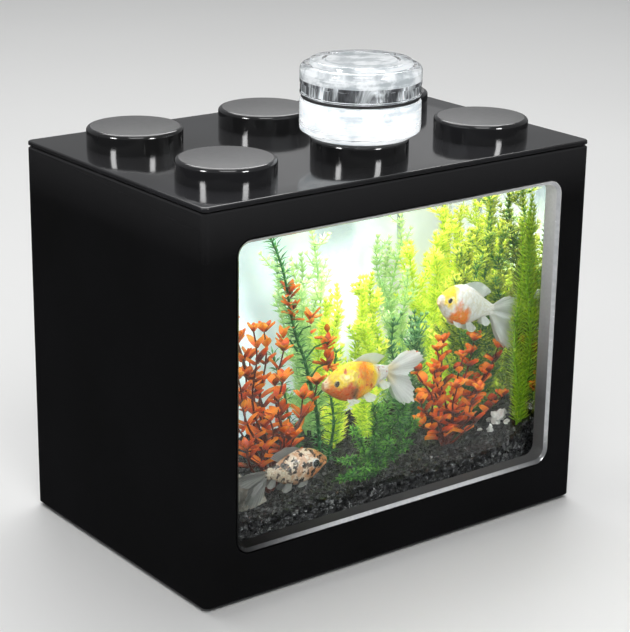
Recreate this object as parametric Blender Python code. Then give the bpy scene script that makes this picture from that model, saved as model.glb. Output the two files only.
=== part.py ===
"""Brick-shaped glass aquarium tank with a lid of six studs and a round battery lamp on one of them.

Blender 4.5, metres, +Z up. The origin is at the middle of the footprint, on the surface it stands on.
+X runs along the wide front and -Y faces the viewer of the window. Each object is one sub-part.
"""

import math

import bmesh
import bpy
from mathutils import Vector

GAP = 0.0003  # between pieces that touch
SEGMENTS = 32  # sides of a turned piece
CORNER_STEPS = 4  # flats in a rounded corner

# Outer shell
BODY_X = 0.060  # half width
BODY_Y = 0.040  # half depth
BODY_TOP = 0.100  # the lid's flat top
PAD_RISE = 0.0008  # how far the rubber pads lift the shell
WALL = 0.0022
CORNER_RADIUS = 0.0016
FLANGE = 0.0012  # the lid's edge, over the shell's rim
SHELL_TOP = BODY_TOP - FLANGE - GAP
INNER_X = BODY_X - WALL
INNER_Y = BODY_Y - WALL

# Window, in the front wall
WINDOW_X = 0.0511  # half width
WINDOW_LOW = 0.0125
WINDOW_HIGH = 0.0911
WINDOW_MIDDLE = (WINDOW_LOW + WINDOW_HIGH) / 2
WINDOW_Z = (WINDOW_HIGH - WINDOW_LOW) / 2
WINDOW_RADIUS = 0.0043
BEVEL = 0.0008  # bright chamfer round the window

# Base
BASE_TOP = 0.0088
BASE_PLATE_LOW = 0.0066
BASE_X = INNER_X - GAP
BASE_Y = INNER_Y - GAP
RIM = 0.0020
RIB = 0.0016
EAR_TOP = 0.0038
SCREW_X = 0.020
SCREW_Y = 0.034
PAD_X = 0.0530
PAD_Y = 0.0330
PAD_RADIUS = 0.0034
PAD_DEPTH = 0.0015  # how deep a pad sits in its recess

# Glass tank
GLASS = 0.003
TANK_LOW = BASE_TOP + GAP
TANK_HIGH = 0.0926
TANK_X = 0.0574
TANK_FRONT = -0.0350
TANK_BACK = 0.0355
FLOOR_TOP = TANK_LOW + GLASS
WATER_X = TANK_X - GLASS - GAP  # inner faces of the floor, clear of the side panes
WATER_FRONT = TANK_FRONT + GLASS + GAP
WATER_BACK = TANK_BACK - GLASS - GAP
BEAD = 0.0018  # leg of a silicone bead

# Studs
STUD_PITCH = 0.040
STUD_RADIUS = 0.0122
STUD_TOP = 0.105
STUD_ROUND = 0.0009
CORE_RADIUS = 0.0060  # blind hole under each stud, which keeps its wall even
PORT_RADIUS = 0.0061  # the lamp's hole in its stud
LID_PLATE_LOW = 0.0980
SKIRT_LOW = 0.0929
SKIRT = 0.0018

# Lamp, with heights counted up from its underside
LAMP_RADIUS = 0.0150
LAMP_Z = STUD_TOP + GAP
LAMP_Y = -STUD_PITCH / 2
SHELL_INNER = 0.0133  # radius inside the lower shell
LAMP_SPLIT = 0.0090  # top of the lower shell
CAP_LOW = 0.0103  # underside of the cap's outer wall
CAP_TOP = 0.0188
GRIP_RIBS = 24


def material(name, colour, roughness, metallic=0.0, transmission=0.0, glow=0.0):
    made = bpy.data.materials.new(name)
    made.use_nodes = True
    shader = made.node_tree.nodes["Principled BSDF"]
    shader.inputs["Base Color"].default_value = (*colour, 1.0)
    shader.inputs["Roughness"].default_value = roughness
    shader.inputs["Metallic"].default_value = metallic
    shader.inputs["Transmission Weight"].default_value = transmission
    shader.inputs["Emission Color"].default_value = (*colour, 1.0)
    shader.inputs["Emission Strength"].default_value = glow
    return made


def frame_at(name, location, parent=None):
    """An empty that carries the pieces of one moving body."""
    made = bpy.data.objects.new(name, None)
    made.location = location
    made.parent = parent
    bpy.context.scene.collection.objects.link(made)
    return made


def add_skin(bm, loops, ends="capped"):
    """Adds a closed skin through loops of equal length. Its ends are capped, or joined to each other."""
    rings = [[bm.verts.new(point) for point in loop] for loop in loops]
    pairs = list(zip(rings, rings[1:]))
    if ends == "joined":
        pairs.append((rings[-1], rings[0]))
    for low, high in pairs:
        for i in range(len(low)):
            j = (i + 1) % len(low)
            bm.faces.new((low[i], low[j], high[j], high[i]))
    if ends == "capped":
        bm.faces.new(rings[0])
        bm.faces.new(rings[-1])


def add_box(bm, low, high):
    add_skin(bm, [rectangle(low, high, low[2]), rectangle(low, high, high[2])])


def rectangle(low, high, z):
    return [(low[0], low[1], z), (high[0], low[1], z), (high[0], high[1], z), (low[0], high[1], z)]


def circle(radius, z, centre=(0.0, 0.0), segments=SEGMENTS, turn=0.0):
    angles = [2 * math.pi * i / segments + turn for i in range(segments)]
    return [(centre[0] + radius * math.cos(a), centre[1] + radius * math.sin(a), z) for a in angles]


def rounded(half_x, half_y, radius):
    """A rectangle with round corners, as flat points, anticlockwise."""
    points = []
    for quarter, (sx, sy) in enumerate(((1, 1), (-1, 1), (-1, -1), (1, -1))):
        cx = sx * (half_x - radius)
        cy = sy * (half_y - radius)
        for step in range(CORNER_STEPS + 1):
            angle = (quarter + step / CORNER_STEPS) * math.pi / 2
            points.append((cx + radius * math.cos(angle), cy + radius * math.sin(angle)))
    return points


def level(half_x, half_y, radius, z):
    """A rounded rectangle lying flat at height z."""
    return [(x, y, z) for x, y in rounded(half_x, half_y, radius)]


def upright(inset, y):
    """The window's outline at depth y, drawn in by inset on every side."""
    flat = rounded(WINDOW_X - inset, WINDOW_Z - inset, WINDOW_RADIUS - inset)
    return [(x, y, WINDOW_MIDDLE + z) for x, z in flat]


def finish(bm, name, made_of, parent=None, sharp=35):
    """Turns the mesh under construction into an object with its faces pointing out."""
    bmesh.ops.recalc_face_normals(bm, faces=bm.faces)
    mesh = bpy.data.meshes.new(name)
    bm.to_mesh(mesh)
    bm.free()
    mesh.shade_smooth()
    mesh.set_sharp_from_angle(angle=math.radians(sharp))
    made = bpy.data.objects.new(name, mesh)
    made.parent = parent
    bpy.context.scene.collection.objects.link(made)
    if made_of is None:
        made.hide_render = True
        made.display_type = "WIRE"
    else:
        mesh.materials.append(made_of)
    return made


def solid(name, loops, made_of, parent=None, ends="capped"):
    bm = bmesh.new()
    add_skin(bm, loops, ends)
    return finish(bm, name, made_of, parent)


def turned(name, profile, made_of, parent=None, centre=(0.0, 0.0), ends="capped", segments=SEGMENTS):
    """A turned piece. profile is (radius, height) points along its skin."""
    loops = [circle(radius, z, centre, segments) for radius, z in profile]
    return solid(name, loops, made_of, parent, ends)


def block(name, low, high, made_of, parent=None, edge=0.0003):
    """A box with its edges broken by a small chamfer."""
    bm = bmesh.new()
    add_box(bm, low, high)
    bmesh.ops.bevel(bm, geom=bm.edges, offset=edge, segments=1, affect="EDGES")
    return finish(bm, name, made_of, parent)


def combine(target, other, operation):
    modifier = target.modifiers.new(other.name, "BOOLEAN")
    modifier.operation = operation
    modifier.solver = "EXACT"
    modifier.object = other


def lofted(sections, segments=8):
    """Loops of a stem or a stone through (x, y, z, radius) sections."""
    return [circle(radius, z, (x, y), segments) for x, y, z, radius in sections]


def signs():
    return [(sx, sy) for sy in (-1, 1) for sx in (-1, 1)]


def stud_centres():
    return [(column * STUD_PITCH, row * STUD_PITCH / 2) for row in (-1, 1) for column in (-1, 0, 1)]


def screw_places():
    return [(sx * SCREW_X, sy * SCREW_Y) for sx, sy in signs()]


def build_casing(made_of):
    """Four walls with a rounded rim, the window and four screw bosses."""
    edge = 0.0004
    outer = [(edge, PAD_RISE), (0.0, PAD_RISE + edge), (0.0, SHELL_TOP - edge), (edge, SHELL_TOP)]
    loops = [level(BODY_X - inset, BODY_Y - inset, CORNER_RADIUS, z) for inset, z in outer]
    loops.append(level(INNER_X, INNER_Y, 0.0006, SHELL_TOP))
    loops.append(level(INNER_X, INNER_Y, 0.0006, PAD_RISE))
    casing = solid("outer_casing", loops, made_of, ends="joined")

    bosses = bmesh.new()
    for x, y in screw_places():
        into_wall = math.copysign(INNER_Y + WALL / 2, y)
        inner = math.copysign(0.0302, y)
        low = (x - 0.0035, min(into_wall, inner), 0.0041)
        add_box(bosses, low, (x + 0.0035, max(into_wall, inner), BASE_TOP))
    combine(casing, finish(bosses, "casing_bosses", None), "UNION")

    cutter = bmesh.new()
    add_skin(cutter, [upright(0.0, -BODY_Y - WALL), upright(0.0, -BODY_Y + 2 * WALL)])
    for x, y in screw_places():
        add_skin(cutter, [circle(0.0013, 0.002, (x, y), 12), circle(0.0013, 0.0083, (x, y), 12)])
    combine(casing, finish(cutter, "casing_openings", None), "DIFFERENCE")


def build_base(plastic, rubber, steel):
    """The base plate, which closes the shell from below, with its pads and screws."""
    plate = bmesh.new()
    add_skin(plate, [level(BASE_X, BASE_Y, 0.0006, z) for z in (BASE_PLATE_LOW, BASE_TOP)])
    base = finish(plate, "base_plate", plastic)

    rim = bmesh.new()
    rim_high = BASE_PLATE_LOW + 0.0010
    rim_loops = [level(BASE_X, BASE_Y, 0.0006, z) for z in (PAD_RISE, rim_high)]
    rim_loops += [level(BASE_X - RIM, BASE_Y - RIM, 0.0004, z) for z in (rim_high, PAD_RISE)]
    add_skin(rim, rim_loops, "joined")
    combine(base, finish(rim, "base_rim", None), "UNION")

    ribs = bmesh.new()
    reach_y = BASE_Y - RIM / 2
    reach_x = BASE_X - RIM / 2
    for x in (-SCREW_X, SCREW_X):
        add_box(ribs, (x - RIB / 2, -reach_y, PAD_RISE), (x + RIB / 2, reach_y, rim_high))
    combine(base, finish(ribs, "base_cross_ribs", None), "UNION")
    long_rib = bmesh.new()
    add_box(long_rib, (-reach_x, -RIB / 2, PAD_RISE), (reach_x, RIB / 2, rim_high))
    combine(base, finish(long_rib, "base_long_rib", None), "UNION")

    ears = bmesh.new()
    for x, y in screw_places():
        inner = math.copysign(0.0300, y)
        outer = math.copysign(reach_y, y)
        add_box(ears, (x - 0.0040, min(inner, outer), PAD_RISE), (x + 0.0040, max(inner, outer), EAR_TOP))
    for sx, sy in signs():
        xs = sorted((sx * 0.0495, sx * reach_x))
        ys = sorted((sy * 0.0295, sy * reach_y))
        add_box(ears, (xs[0], ys[0], PAD_RISE), (xs[1], ys[1], rim_high))
    combine(base, finish(ears, "base_ears", None), "UNION")

    notches = bmesh.new()
    for x, y in screw_places():
        ys = sorted((math.copysign(0.0299, y), math.copysign(BODY_Y, y)))
        add_box(notches, (x - 0.0038, ys[0], EAR_TOP), (x + 0.0038, ys[1], BASE_TOP + 0.001))
    for sx, sy in signs():
        low = circle(PAD_RADIUS + GAP, 0.0, (sx * PAD_X, sy * PAD_Y), 20)
        high = circle(PAD_RADIUS + GAP, PAD_RISE + PAD_DEPTH + GAP, (sx * PAD_X, sy * PAD_Y), 20)
        add_skin(notches, [low, high])
    combine(base, finish(notches, "base_notches", None), "DIFFERENCE")

    holes = bmesh.new()
    for x, y in screw_places():
        steps = [(0.0025, 0.0), (0.0025, 0.0026), (0.00135, 0.0026), (0.00135, 0.0060)]
        add_skin(holes, [circle(radius, z, (x, y), 16) for radius, z in steps])
    combine(base, finish(holes, "base_screw_holes", None), "DIFFERENCE")

    pad = [(0.0028, 0.0), (PAD_RADIUS, 0.0004), (PAD_RADIUS, PAD_RISE + PAD_DEPTH)]
    screw = [(0.0018, 0.0011), (0.0022, 0.0013), (0.0022, 0.0019), (0.0018, 0.0023), (0.0010, 0.0023)]
    screw += [(0.0010, 0.0076), (0.0004, 0.0080)]
    for index, (sx, sy) in enumerate(signs(), 1):
        turned(f"rubber_pad_{index}", pad, rubber, centre=(sx * PAD_X, sy * PAD_Y), segments=20)
        centre = (sx * SCREW_X, sy * SCREW_Y)
        made = turned(f"base_screw_{index}", screw, steel, centre=centre, segments=16)
        socket = bmesh.new()
        add_skin(socket, [circle(0.0010, z, centre, 6) for z in (0.0005, 0.0017)])
        combine(made, finish(socket, f"screw_socket_{index}", None), "DIFFERENCE")


def build_window_frame(made_of):
    """A ring lining the window, chamfered at the front, with a lip behind the wall."""
    front = -BODY_Y
    back = TANK_FRONT - GAP
    lip_front = -INNER_Y + GAP
    section = [(GAP, front), (GAP + 0.0002, front), (GAP + 0.0002 + BEVEL, front + BEVEL)]
    section += [(GAP + 0.0002 + BEVEL, back), (GAP, back), (-0.0014, back)]
    section += [(-0.0014, lip_front), (GAP, lip_front)]
    loops = [upright(inset, y) for inset, y in section]
    solid("window_frame", loops, made_of, ends="joined")


def build_tank(glass, silicone, sheet):
    """Five panes, their silicone beads and the sheet behind them."""
    side_low = TANK_FRONT + GLASS + GAP
    side_high = TANK_BACK - GLASS - GAP
    block("glass_front", (-TANK_X, TANK_FRONT, TANK_LOW), (TANK_X, TANK_FRONT + GLASS, TANK_HIGH), glass)
    block("glass_back", (-TANK_X, TANK_BACK - GLASS, TANK_LOW), (TANK_X, TANK_BACK, TANK_HIGH), glass)
    inner = TANK_X - GLASS
    block("glass_left", (-TANK_X, side_low, TANK_LOW), (-inner, side_high, TANK_HIGH), glass)
    block("glass_right", (inner, side_low, TANK_LOW), (TANK_X, side_high, TANK_HIGH), glass)
    block("glass_floor", (-WATER_X, side_low, TANK_LOW), (WATER_X, side_high, FLOOR_TOP), glass)

    # An upright bead fills each corner. Its section is a right triangle with a hollow face.
    bead_low = FLOOR_TOP + BEAD + 2 * GAP
    corners = {"front_left": (-1, -1), "front_right": (1, -1), "back_left": (-1, 1), "back_right": (1, 1)}
    hollow = 0.38 * BEAD
    for place, (sx, sy) in corners.items():
        x = sx * WATER_X
        y = WATER_FRONT if sy < 0 else WATER_BACK
        flat = [(0.0, 0.0), (BEAD, 0.0), (hollow, hollow), (0.0, BEAD)]
        loops = [[(x - sx * a, y - sy * b, z) for a, b in flat] for z in (bead_low, TANK_HIGH - 0.001)]
        solid(f"corner_bead_{place}", loops, silicone)

    z = FLOOR_TOP + GAP
    section = [(0.0, z), (BEAD, z), (hollow, z + hollow), (0.0, z + BEAD)]
    end_x = WATER_X - BEAD - GAP
    for place, y, inward in (("front", WATER_FRONT, 1), ("back", WATER_BACK, -1)):
        loops = [[(x, y + inward * a, height) for a, height in section] for x in (-end_x, end_x)]
        solid(f"floor_bead_{place}", loops, silicone)
    ends = (WATER_FRONT + BEAD + GAP, WATER_BACK - BEAD - GAP)
    for place, side in (("left", -1), ("right", 1)):
        loops = [[(side * (WATER_X - a), y, height) for a, height in section] for y in ends]
        solid(f"floor_bead_{place}", loops, silicone)

    sheet_y = TANK_BACK + 0.0006
    block("backdrop_sheet", (-0.0572, sheet_y, TANK_LOW), (0.0572, sheet_y + 0.001, TANK_HIGH), sheet)


def gravel_height(x, y):
    """The gravel rises gently to the back and banks up against the right pane."""
    back = (y - WATER_FRONT) / (WATER_BACK - WATER_FRONT)
    right = max(0.0, (x - 0.030) / 0.024)
    return 0.0155 + 0.0035 * back + 0.0070 * min(right, 1.0) ** 2


def standing(x, y, radius):
    """The lowest height at which a foot of this radius clears the gravel all round."""
    around = [gravel_height(x + dx * radius, y + dy * radius) for dx, dy in signs()]
    return max(around) + 0.0008


def build_gravel(made_of):
    """The gravel bed, chamfered below so that it clears the beads along the floor."""
    columns = 11
    rows = 7
    undercut = 0.0028
    pull = 0.0016  # how far each upright corner is drawn in, clear of its bead
    low_z = FLOOR_TOP + GAP

    def grid_point(i, j, inset):
        x = -WATER_X + GAP + inset + (2 * (WATER_X - GAP - inset)) * i / (columns - 1)
        depth = WATER_BACK - WATER_FRONT - 2 * GAP - 2 * inset
        y = WATER_FRONT + GAP + inset + depth * j / (rows - 1)
        if i in (0, columns - 1) and j in (0, rows - 1):
            x += pull if i == 0 else -pull
            y += pull if j == 0 else -pull
        return x, y

    border = [(i, 0) for i in range(columns)]
    border += [(columns - 1, j) for j in range(1, rows)]
    border += [(i, rows - 1) for i in range(columns - 2, -1, -1)]
    border += [(0, j) for j in range(rows - 2, 0, -1)]

    bm = bmesh.new()
    top = {}
    for j in range(rows):
        for i in range(columns):
            x, y = grid_point(i, j, 0.0)
            top[i, j] = bm.verts.new((x, y, gravel_height(x, y)))
    for j in range(rows - 1):
        for i in range(columns - 1):
            bm.faces.new((top[i, j], top[i + 1, j], top[i + 1, j + 1], top[i, j + 1]))
    rings = [[top[place] for place in border]]
    for inset, z in ((0.0, low_z + undercut), (undercut, low_z)):
        rings.append([bm.verts.new((*grid_point(i, j, inset), z)) for i, j in border])
    for upper, lower in zip(rings, rings[1:]):
        for k in range(len(border)):
            n = (k + 1) % len(border)
            bm.faces.new((lower[k], lower[n], upper[n], upper[k]))
    bm.faces.new(rings[-1])
    finish(bm, "gravel_bed", made_of)


def build_decor(greens, red, stone, pale_stone):
    """Plants and stones, as plain solids of the space that each takes up."""
    plants = {
        "stem_plant_left": ("fresh", [(-0.007, -0.004, 0.0036), (-0.0105, -0.004, 0.048, 0.0044),
                                      (-0.0235, -0.004, 0.0815, 0.0034)]),
        "red_plant_left": ("red", [(-0.0270, -0.013, 0.0050), (-0.0285, -0.013, 0.038, 0.0075),
                                   (-0.0320, -0.013, 0.0625, 0.0045)]),
        "pale_bush": ("pale", [(0.004, 0.020, 0.0050), (0.003, 0.020, 0.050, 0.0072),
                               (-0.001, 0.020, 0.0775, 0.0060)]),
        "lime_column_left": ("lime", [(0.0022, 0.006, 0.0034), (0.0022, 0.006, 0.0620, 0.0044)]),
        "lime_column_right": ("lime", [(0.0137, 0.006, 0.0034), (0.0137, 0.006, 0.0630, 0.0044)]),
        "back_stems": ("pale", [(0.0330, 0.0255, 0.0040), (0.0330, 0.0255, 0.0730, 0.0050)]),
        "dark_stem_plant": ("dark", [(0.0260, 0.002, 0.0036), (0.0255, 0.002, 0.0510, 0.0050)]),
        "back_bush_right": ("lime", [(0.0465, 0.024, 0.0045), (0.0465, 0.024, 0.050, 0.0064),
                                     (0.0460, 0.024, 0.0740, 0.0060)]),
        "lime_bush_right": ("lime", [(0.0430, 0.0075, 0.0045), (0.0430, 0.0075, 0.0470, 0.0070)]),
        "tall_bush_right": ("fresh", [(0.0455, -0.0060, 0.0040), (0.0455, -0.0060, 0.060, 0.0054),
                                      (0.0460, -0.0060, 0.0825, 0.0050)]),
        "stem_plant_right": ("lime", [(0.0497, -0.0265, 0.0030), (0.0500, -0.0265, 0.0835, 0.0034)]),
        "red_plant_right": ("red", [(0.0300, -0.0150, 0.0040), (0.0325, -0.0150, 0.030, 0.0072),
                                    (0.0340, -0.0150, 0.0425, 0.0045)]),
        "dark_low_plant": ("dark", [(0.0010, -0.0232, 0.0040), (0.0010, -0.0232, 0.026, 0.0066),
                                    (0.0010, -0.0232, 0.0362, 0.0045)]),
        "back_bush_left": ("pale", [(-0.0380, 0.0180, 0.0045), (-0.0380, 0.0180, 0.045, 0.0070),
                                    (-0.0380, 0.0180, 0.0630, 0.0050)]),
    }
    for name, (tone, (foot, *sections)) in plants.items():
        x, y, radius = foot
        rooted = [(x, y, standing(x, y, radius), radius), *sections]
        solid(name, lofted(rooted), red if tone == "red" else greens[tone])

    rock = [(-0.0445, -0.0160, standing(-0.0445, -0.0160, 0.0050), 0.0050), (-0.0445, -0.0160, 0.0215, 0.0062)]
    rock += [(-0.0440, -0.0155, 0.0255, 0.0040), (-0.0435, -0.0155, 0.0268, 0.0018)]
    solid("rock", lofted(rock, 9), stone)
    x, y, radius = 0.0465, -0.0185, 0.0023
    z = standing(x, y, radius) + 0.0004
    pebble = [(x, y, z, 0.7 * radius), (x, y, z + 0.7 * radius, radius), (x, y, z + 1.5 * radius, 0.5 * radius)]
    solid("pale_stone", lofted(pebble, 7), pale_stone)


def build_fish(name, nose, root, end, half_height, half_width, made_of):
    """A fish as ovals from its nose to the end of its tail fin, which stands upright and thin."""
    nose = Vector(nose)
    root = Vector(root)
    end = Vector(end)
    side = (root - nose).cross(Vector((0.0, 0.0, 1.0))).normalized()
    sections = [(nose, 0.20, 0.25), (nose.lerp(root, 0.18), 0.66, 0.75), (nose.lerp(root, 0.48), 1.0, 1.0)]
    sections += [(nose.lerp(root, 0.78), 0.62, 0.60), (root, 0.30, 0.24)]
    sections += [(root.lerp(end, 0.55), 0.62, 0.12), (end, 0.85, 0.10)]
    loops = []
    for middle, tall, wide in sections:
        ring = []
        for step in range(10):
            angle = 2 * math.pi * step / 10
            across = side * (half_width * wide * math.cos(angle))
            ring.append(middle + across + Vector((0.0, 0.0, half_height * tall * math.sin(angle))))
        loops.append(ring)
    solid(name, loops, made_of)


def build_lid(plastic, clear):
    """The lid with its skirt and six studs, and the clear disc under the lamp's port."""
    lid_frame = frame_at("lid_frame", (0.0, 0.0, SHELL_TOP))
    base = SHELL_TOP
    flange_low = BODY_TOP - FLANGE
    steps = [
        (BASE_X - SKIRT, BASE_Y - SKIRT, 0.0004, LID_PLATE_LOW),
        (BASE_X - SKIRT, BASE_Y - SKIRT, 0.0004, SKIRT_LOW),
        (BASE_X - 0.0006, BASE_Y - 0.0006, 0.0006, SKIRT_LOW),
        (BASE_X, BASE_Y, 0.0006, SKIRT_LOW + 0.0010),
        (BASE_X, BASE_Y, 0.0006, flange_low),
        (BODY_X - 0.0002, BODY_Y - 0.0002, CORNER_RADIUS, flange_low),
        (BODY_X, BODY_Y, CORNER_RADIUS, flange_low + 0.0002),
        (BODY_X, BODY_Y, CORNER_RADIUS, BODY_TOP - 0.0007),
        (BODY_X - 0.0002, BODY_Y - 0.0002, CORNER_RADIUS, BODY_TOP - 0.0002),
        (BODY_X - 0.0007, BODY_Y - 0.0007, CORNER_RADIUS, BODY_TOP),
    ]
    lid = solid("lid", [level(x, y, radius, z - base) for x, y, radius, z in steps], plastic, lid_frame)

    studs = bmesh.new()
    profile = [(STUD_RADIUS, BODY_TOP - 0.0006), (STUD_RADIUS, STUD_TOP - STUD_ROUND)]
    profile += [(STUD_RADIUS - 0.3 * STUD_ROUND, STUD_TOP - 0.3 * STUD_ROUND)]
    profile += [(STUD_RADIUS - STUD_ROUND, STUD_TOP)]
    for centre in stud_centres():
        add_skin(studs, [circle(radius, z - base, centre) for radius, z in profile])
    combine(lid, finish(studs, "lid_studs", None, lid_frame), "UNION")

    holes = bmesh.new()
    for centre in stud_centres():
        if centre == (0.0, LAMP_Y):
            steps = [(0.0088, SKIRT_LOW), (0.0088, 0.0992), (PORT_RADIUS, 0.0992), (PORT_RADIUS, 0.110)]
        else:
            steps = [(CORE_RADIUS, SKIRT_LOW), (CORE_RADIUS, 0.1022)]
        add_skin(holes, [circle(radius, z - base, centre, 24) for radius, z in steps])
    combine(lid, finish(holes, "lid_holes", None, lid_frame), "DIFFERENCE")

    disc = [(0.0082, 0.0979), (0.0084, 0.0981), (0.0084, 0.0987), (0.0082, 0.0989)]
    local = [(radius, z - base) for radius, z in disc]
    turned("light_window", local, clear, lid_frame, centre=(0.0, LAMP_Y), segments=24)
    return lid_frame


def build_lamp_body(lid_frame, clear, white, board, chip, steel, rubber):
    """The lamp's lower half: shell with spigot, seal, board, LEDs, holder and cells."""
    lamp_frame = frame_at("lamp_frame", (0.0, LAMP_Y, LAMP_Z - SHELL_TOP), lid_frame)
    shell = [
        (0.0052, -0.0028), (0.0058, -0.0024), (0.0058, 0.0), (0.0120, 0.0), (0.0125, 0.0001),
        (LAMP_RADIUS, 0.0017), (LAMP_RADIUS, 0.0032), (LAMP_RADIUS - 0.00012, 0.0034),
        (LAMP_RADIUS, 0.0036), (LAMP_RADIUS, LAMP_SPLIT - 0.0004), (LAMP_RADIUS - 0.0004, LAMP_SPLIT),
        (SHELL_INNER, LAMP_SPLIT), (SHELL_INNER, 0.0024), (SHELL_INNER - 0.0008, 0.0016),
    ]
    turned("lamp_base", shell, clear, lamp_frame, segments=36)
    seal = [(0.0134, 0.0095), (0.0136, LAMP_SPLIT + GAP), (0.0143, LAMP_SPLIT + GAP)]
    seal += [(0.0145, 0.0095), (0.0145, 0.0098), (0.0143, 0.0100), (0.0136, 0.0100), (0.0134, 0.0098)]
    turned("lamp_seal", seal, rubber, lamp_frame, ends="joined", segments=36)

    turned("led_board", [(0.0118, 0.0035), (0.0118, 0.0045)], board, lamp_frame)
    for index in range(3):
        angle = math.radians(90 + 120 * index)
        x = 0.0034 * math.cos(angle)
        y = 0.0034 * math.sin(angle)
        low = (x - 0.0014, y - 0.0014, 0.0021)
        block(f"led_{index + 1}", low, (x + 0.0014, y + 0.0014, 0.0032), chip, lamp_frame, 0.0002)

    holder = [(0.0030, 0.0049), (0.0112, 0.0049), (0.0114, 0.0051), (0.0114, 0.0112), (0.0104, 0.0112)]
    holder += [(0.0104, 0.0057), (0.0030, 0.0057)]
    turned("battery_holder", holder, white, lamp_frame, ends="joined")
    for place, low in (("lower", 0.0060), ("upper", 0.0088)):
        cell = [(0.0097, low), (0.0100, low + 0.0003), (0.0100, low + 0.0025)]
        turned(f"coin_cell_{place}", cell, steel, lamp_frame)
    return lamp_frame


def build_lamp_cap(lamp_frame, clear, white, steel):
    """The lamp's upper half, which twists: clear cap with grip ribs, insert, contact plate and spring."""
    cap_frame = frame_at("lamp_cap_frame", (0.0, 0.0, 0.0), lamp_frame)
    groove = 0.0003  # depth of the panels between the grip ribs
    rib_low = CAP_LOW + 0.0004
    rib_high = CAP_LOW + 0.0027
    shoulder = CAP_TOP - 0.0011
    inner = [(0.0116, 0.0166), (0.0119, 0.0163), (0.0119, 0.0058), (0.0124, 0.0055)]
    inner += [(0.0128, 0.0058), (0.0128, CAP_LOW), (LAMP_RADIUS - 0.0003, CAP_LOW)]
    side = [(LAMP_RADIUS, rib_low - 0.0001), (LAMP_RADIUS, rib_low), (LAMP_RADIUS - groove, rib_low + 0.0001)]
    side += [(LAMP_RADIUS - groove, rib_high - 0.0001), (LAMP_RADIUS, rib_high), (LAMP_RADIUS, shoulder - 0.0016)]
    side += [(LAMP_RADIUS - 0.0004, shoulder - 0.0005), (LAMP_RADIUS - 0.0014, shoulder)]
    side += [(0.0127, shoulder), (0.0127, CAP_TOP - 0.0003), (0.0122, CAP_TOP), (0.0096, CAP_TOP)]
    side += [(0.0094, CAP_TOP - 0.0005), (0.0090, CAP_TOP - 0.0005), (0.0088, CAP_TOP)]
    sides = 2 * GRIP_RIBS
    loops = [circle(radius, z, segments=sides) for radius, z in inner]
    for radius, z in side:
        ring = circle(radius, z, segments=sides)
        if radius == LAMP_RADIUS - groove:
            full = circle(LAMP_RADIUS, z, segments=sides)
            ring = [full[i] if i % 2 else ring[i] for i in range(sides)]
        loops.append(ring)
    solid("lamp_cap", loops, clear, cap_frame)

    insert = [(0.0110, 0.0143), (0.0112, 0.0145), (0.0112, 0.0160), (0.0110, 0.0162)]
    turned("cap_insert", insert, white, cap_frame)
    turned("contact_plate", [(0.0070, 0.0137), (0.0070, 0.0140)], steel, cap_frame)

    curve = bpy.data.curves.new("contact_spring", "CURVE")
    curve.dimensions = "3D"
    curve.bevel_depth = 0.00018
    curve.bevel_resolution = 1
    curve.use_fill_caps = True
    spline = curve.splines.new("POLY")
    turns = 2.5
    count = 26
    spline.points.add(count - 1)
    for index, point in enumerate(spline.points):
        part = index / (count - 1)
        angle = 2 * math.pi * turns * part
        radius = 0.0022 + 0.0018 * part
        point.co = (radius * math.cos(angle), radius * math.sin(angle), 0.0118 + 0.0014 * part, 1.0)
    curve.materials.append(steel)
    spring = bpy.data.objects.new("contact_spring", curve)
    spring.parent = cap_frame
    bpy.context.scene.collection.objects.link(spring)


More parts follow.
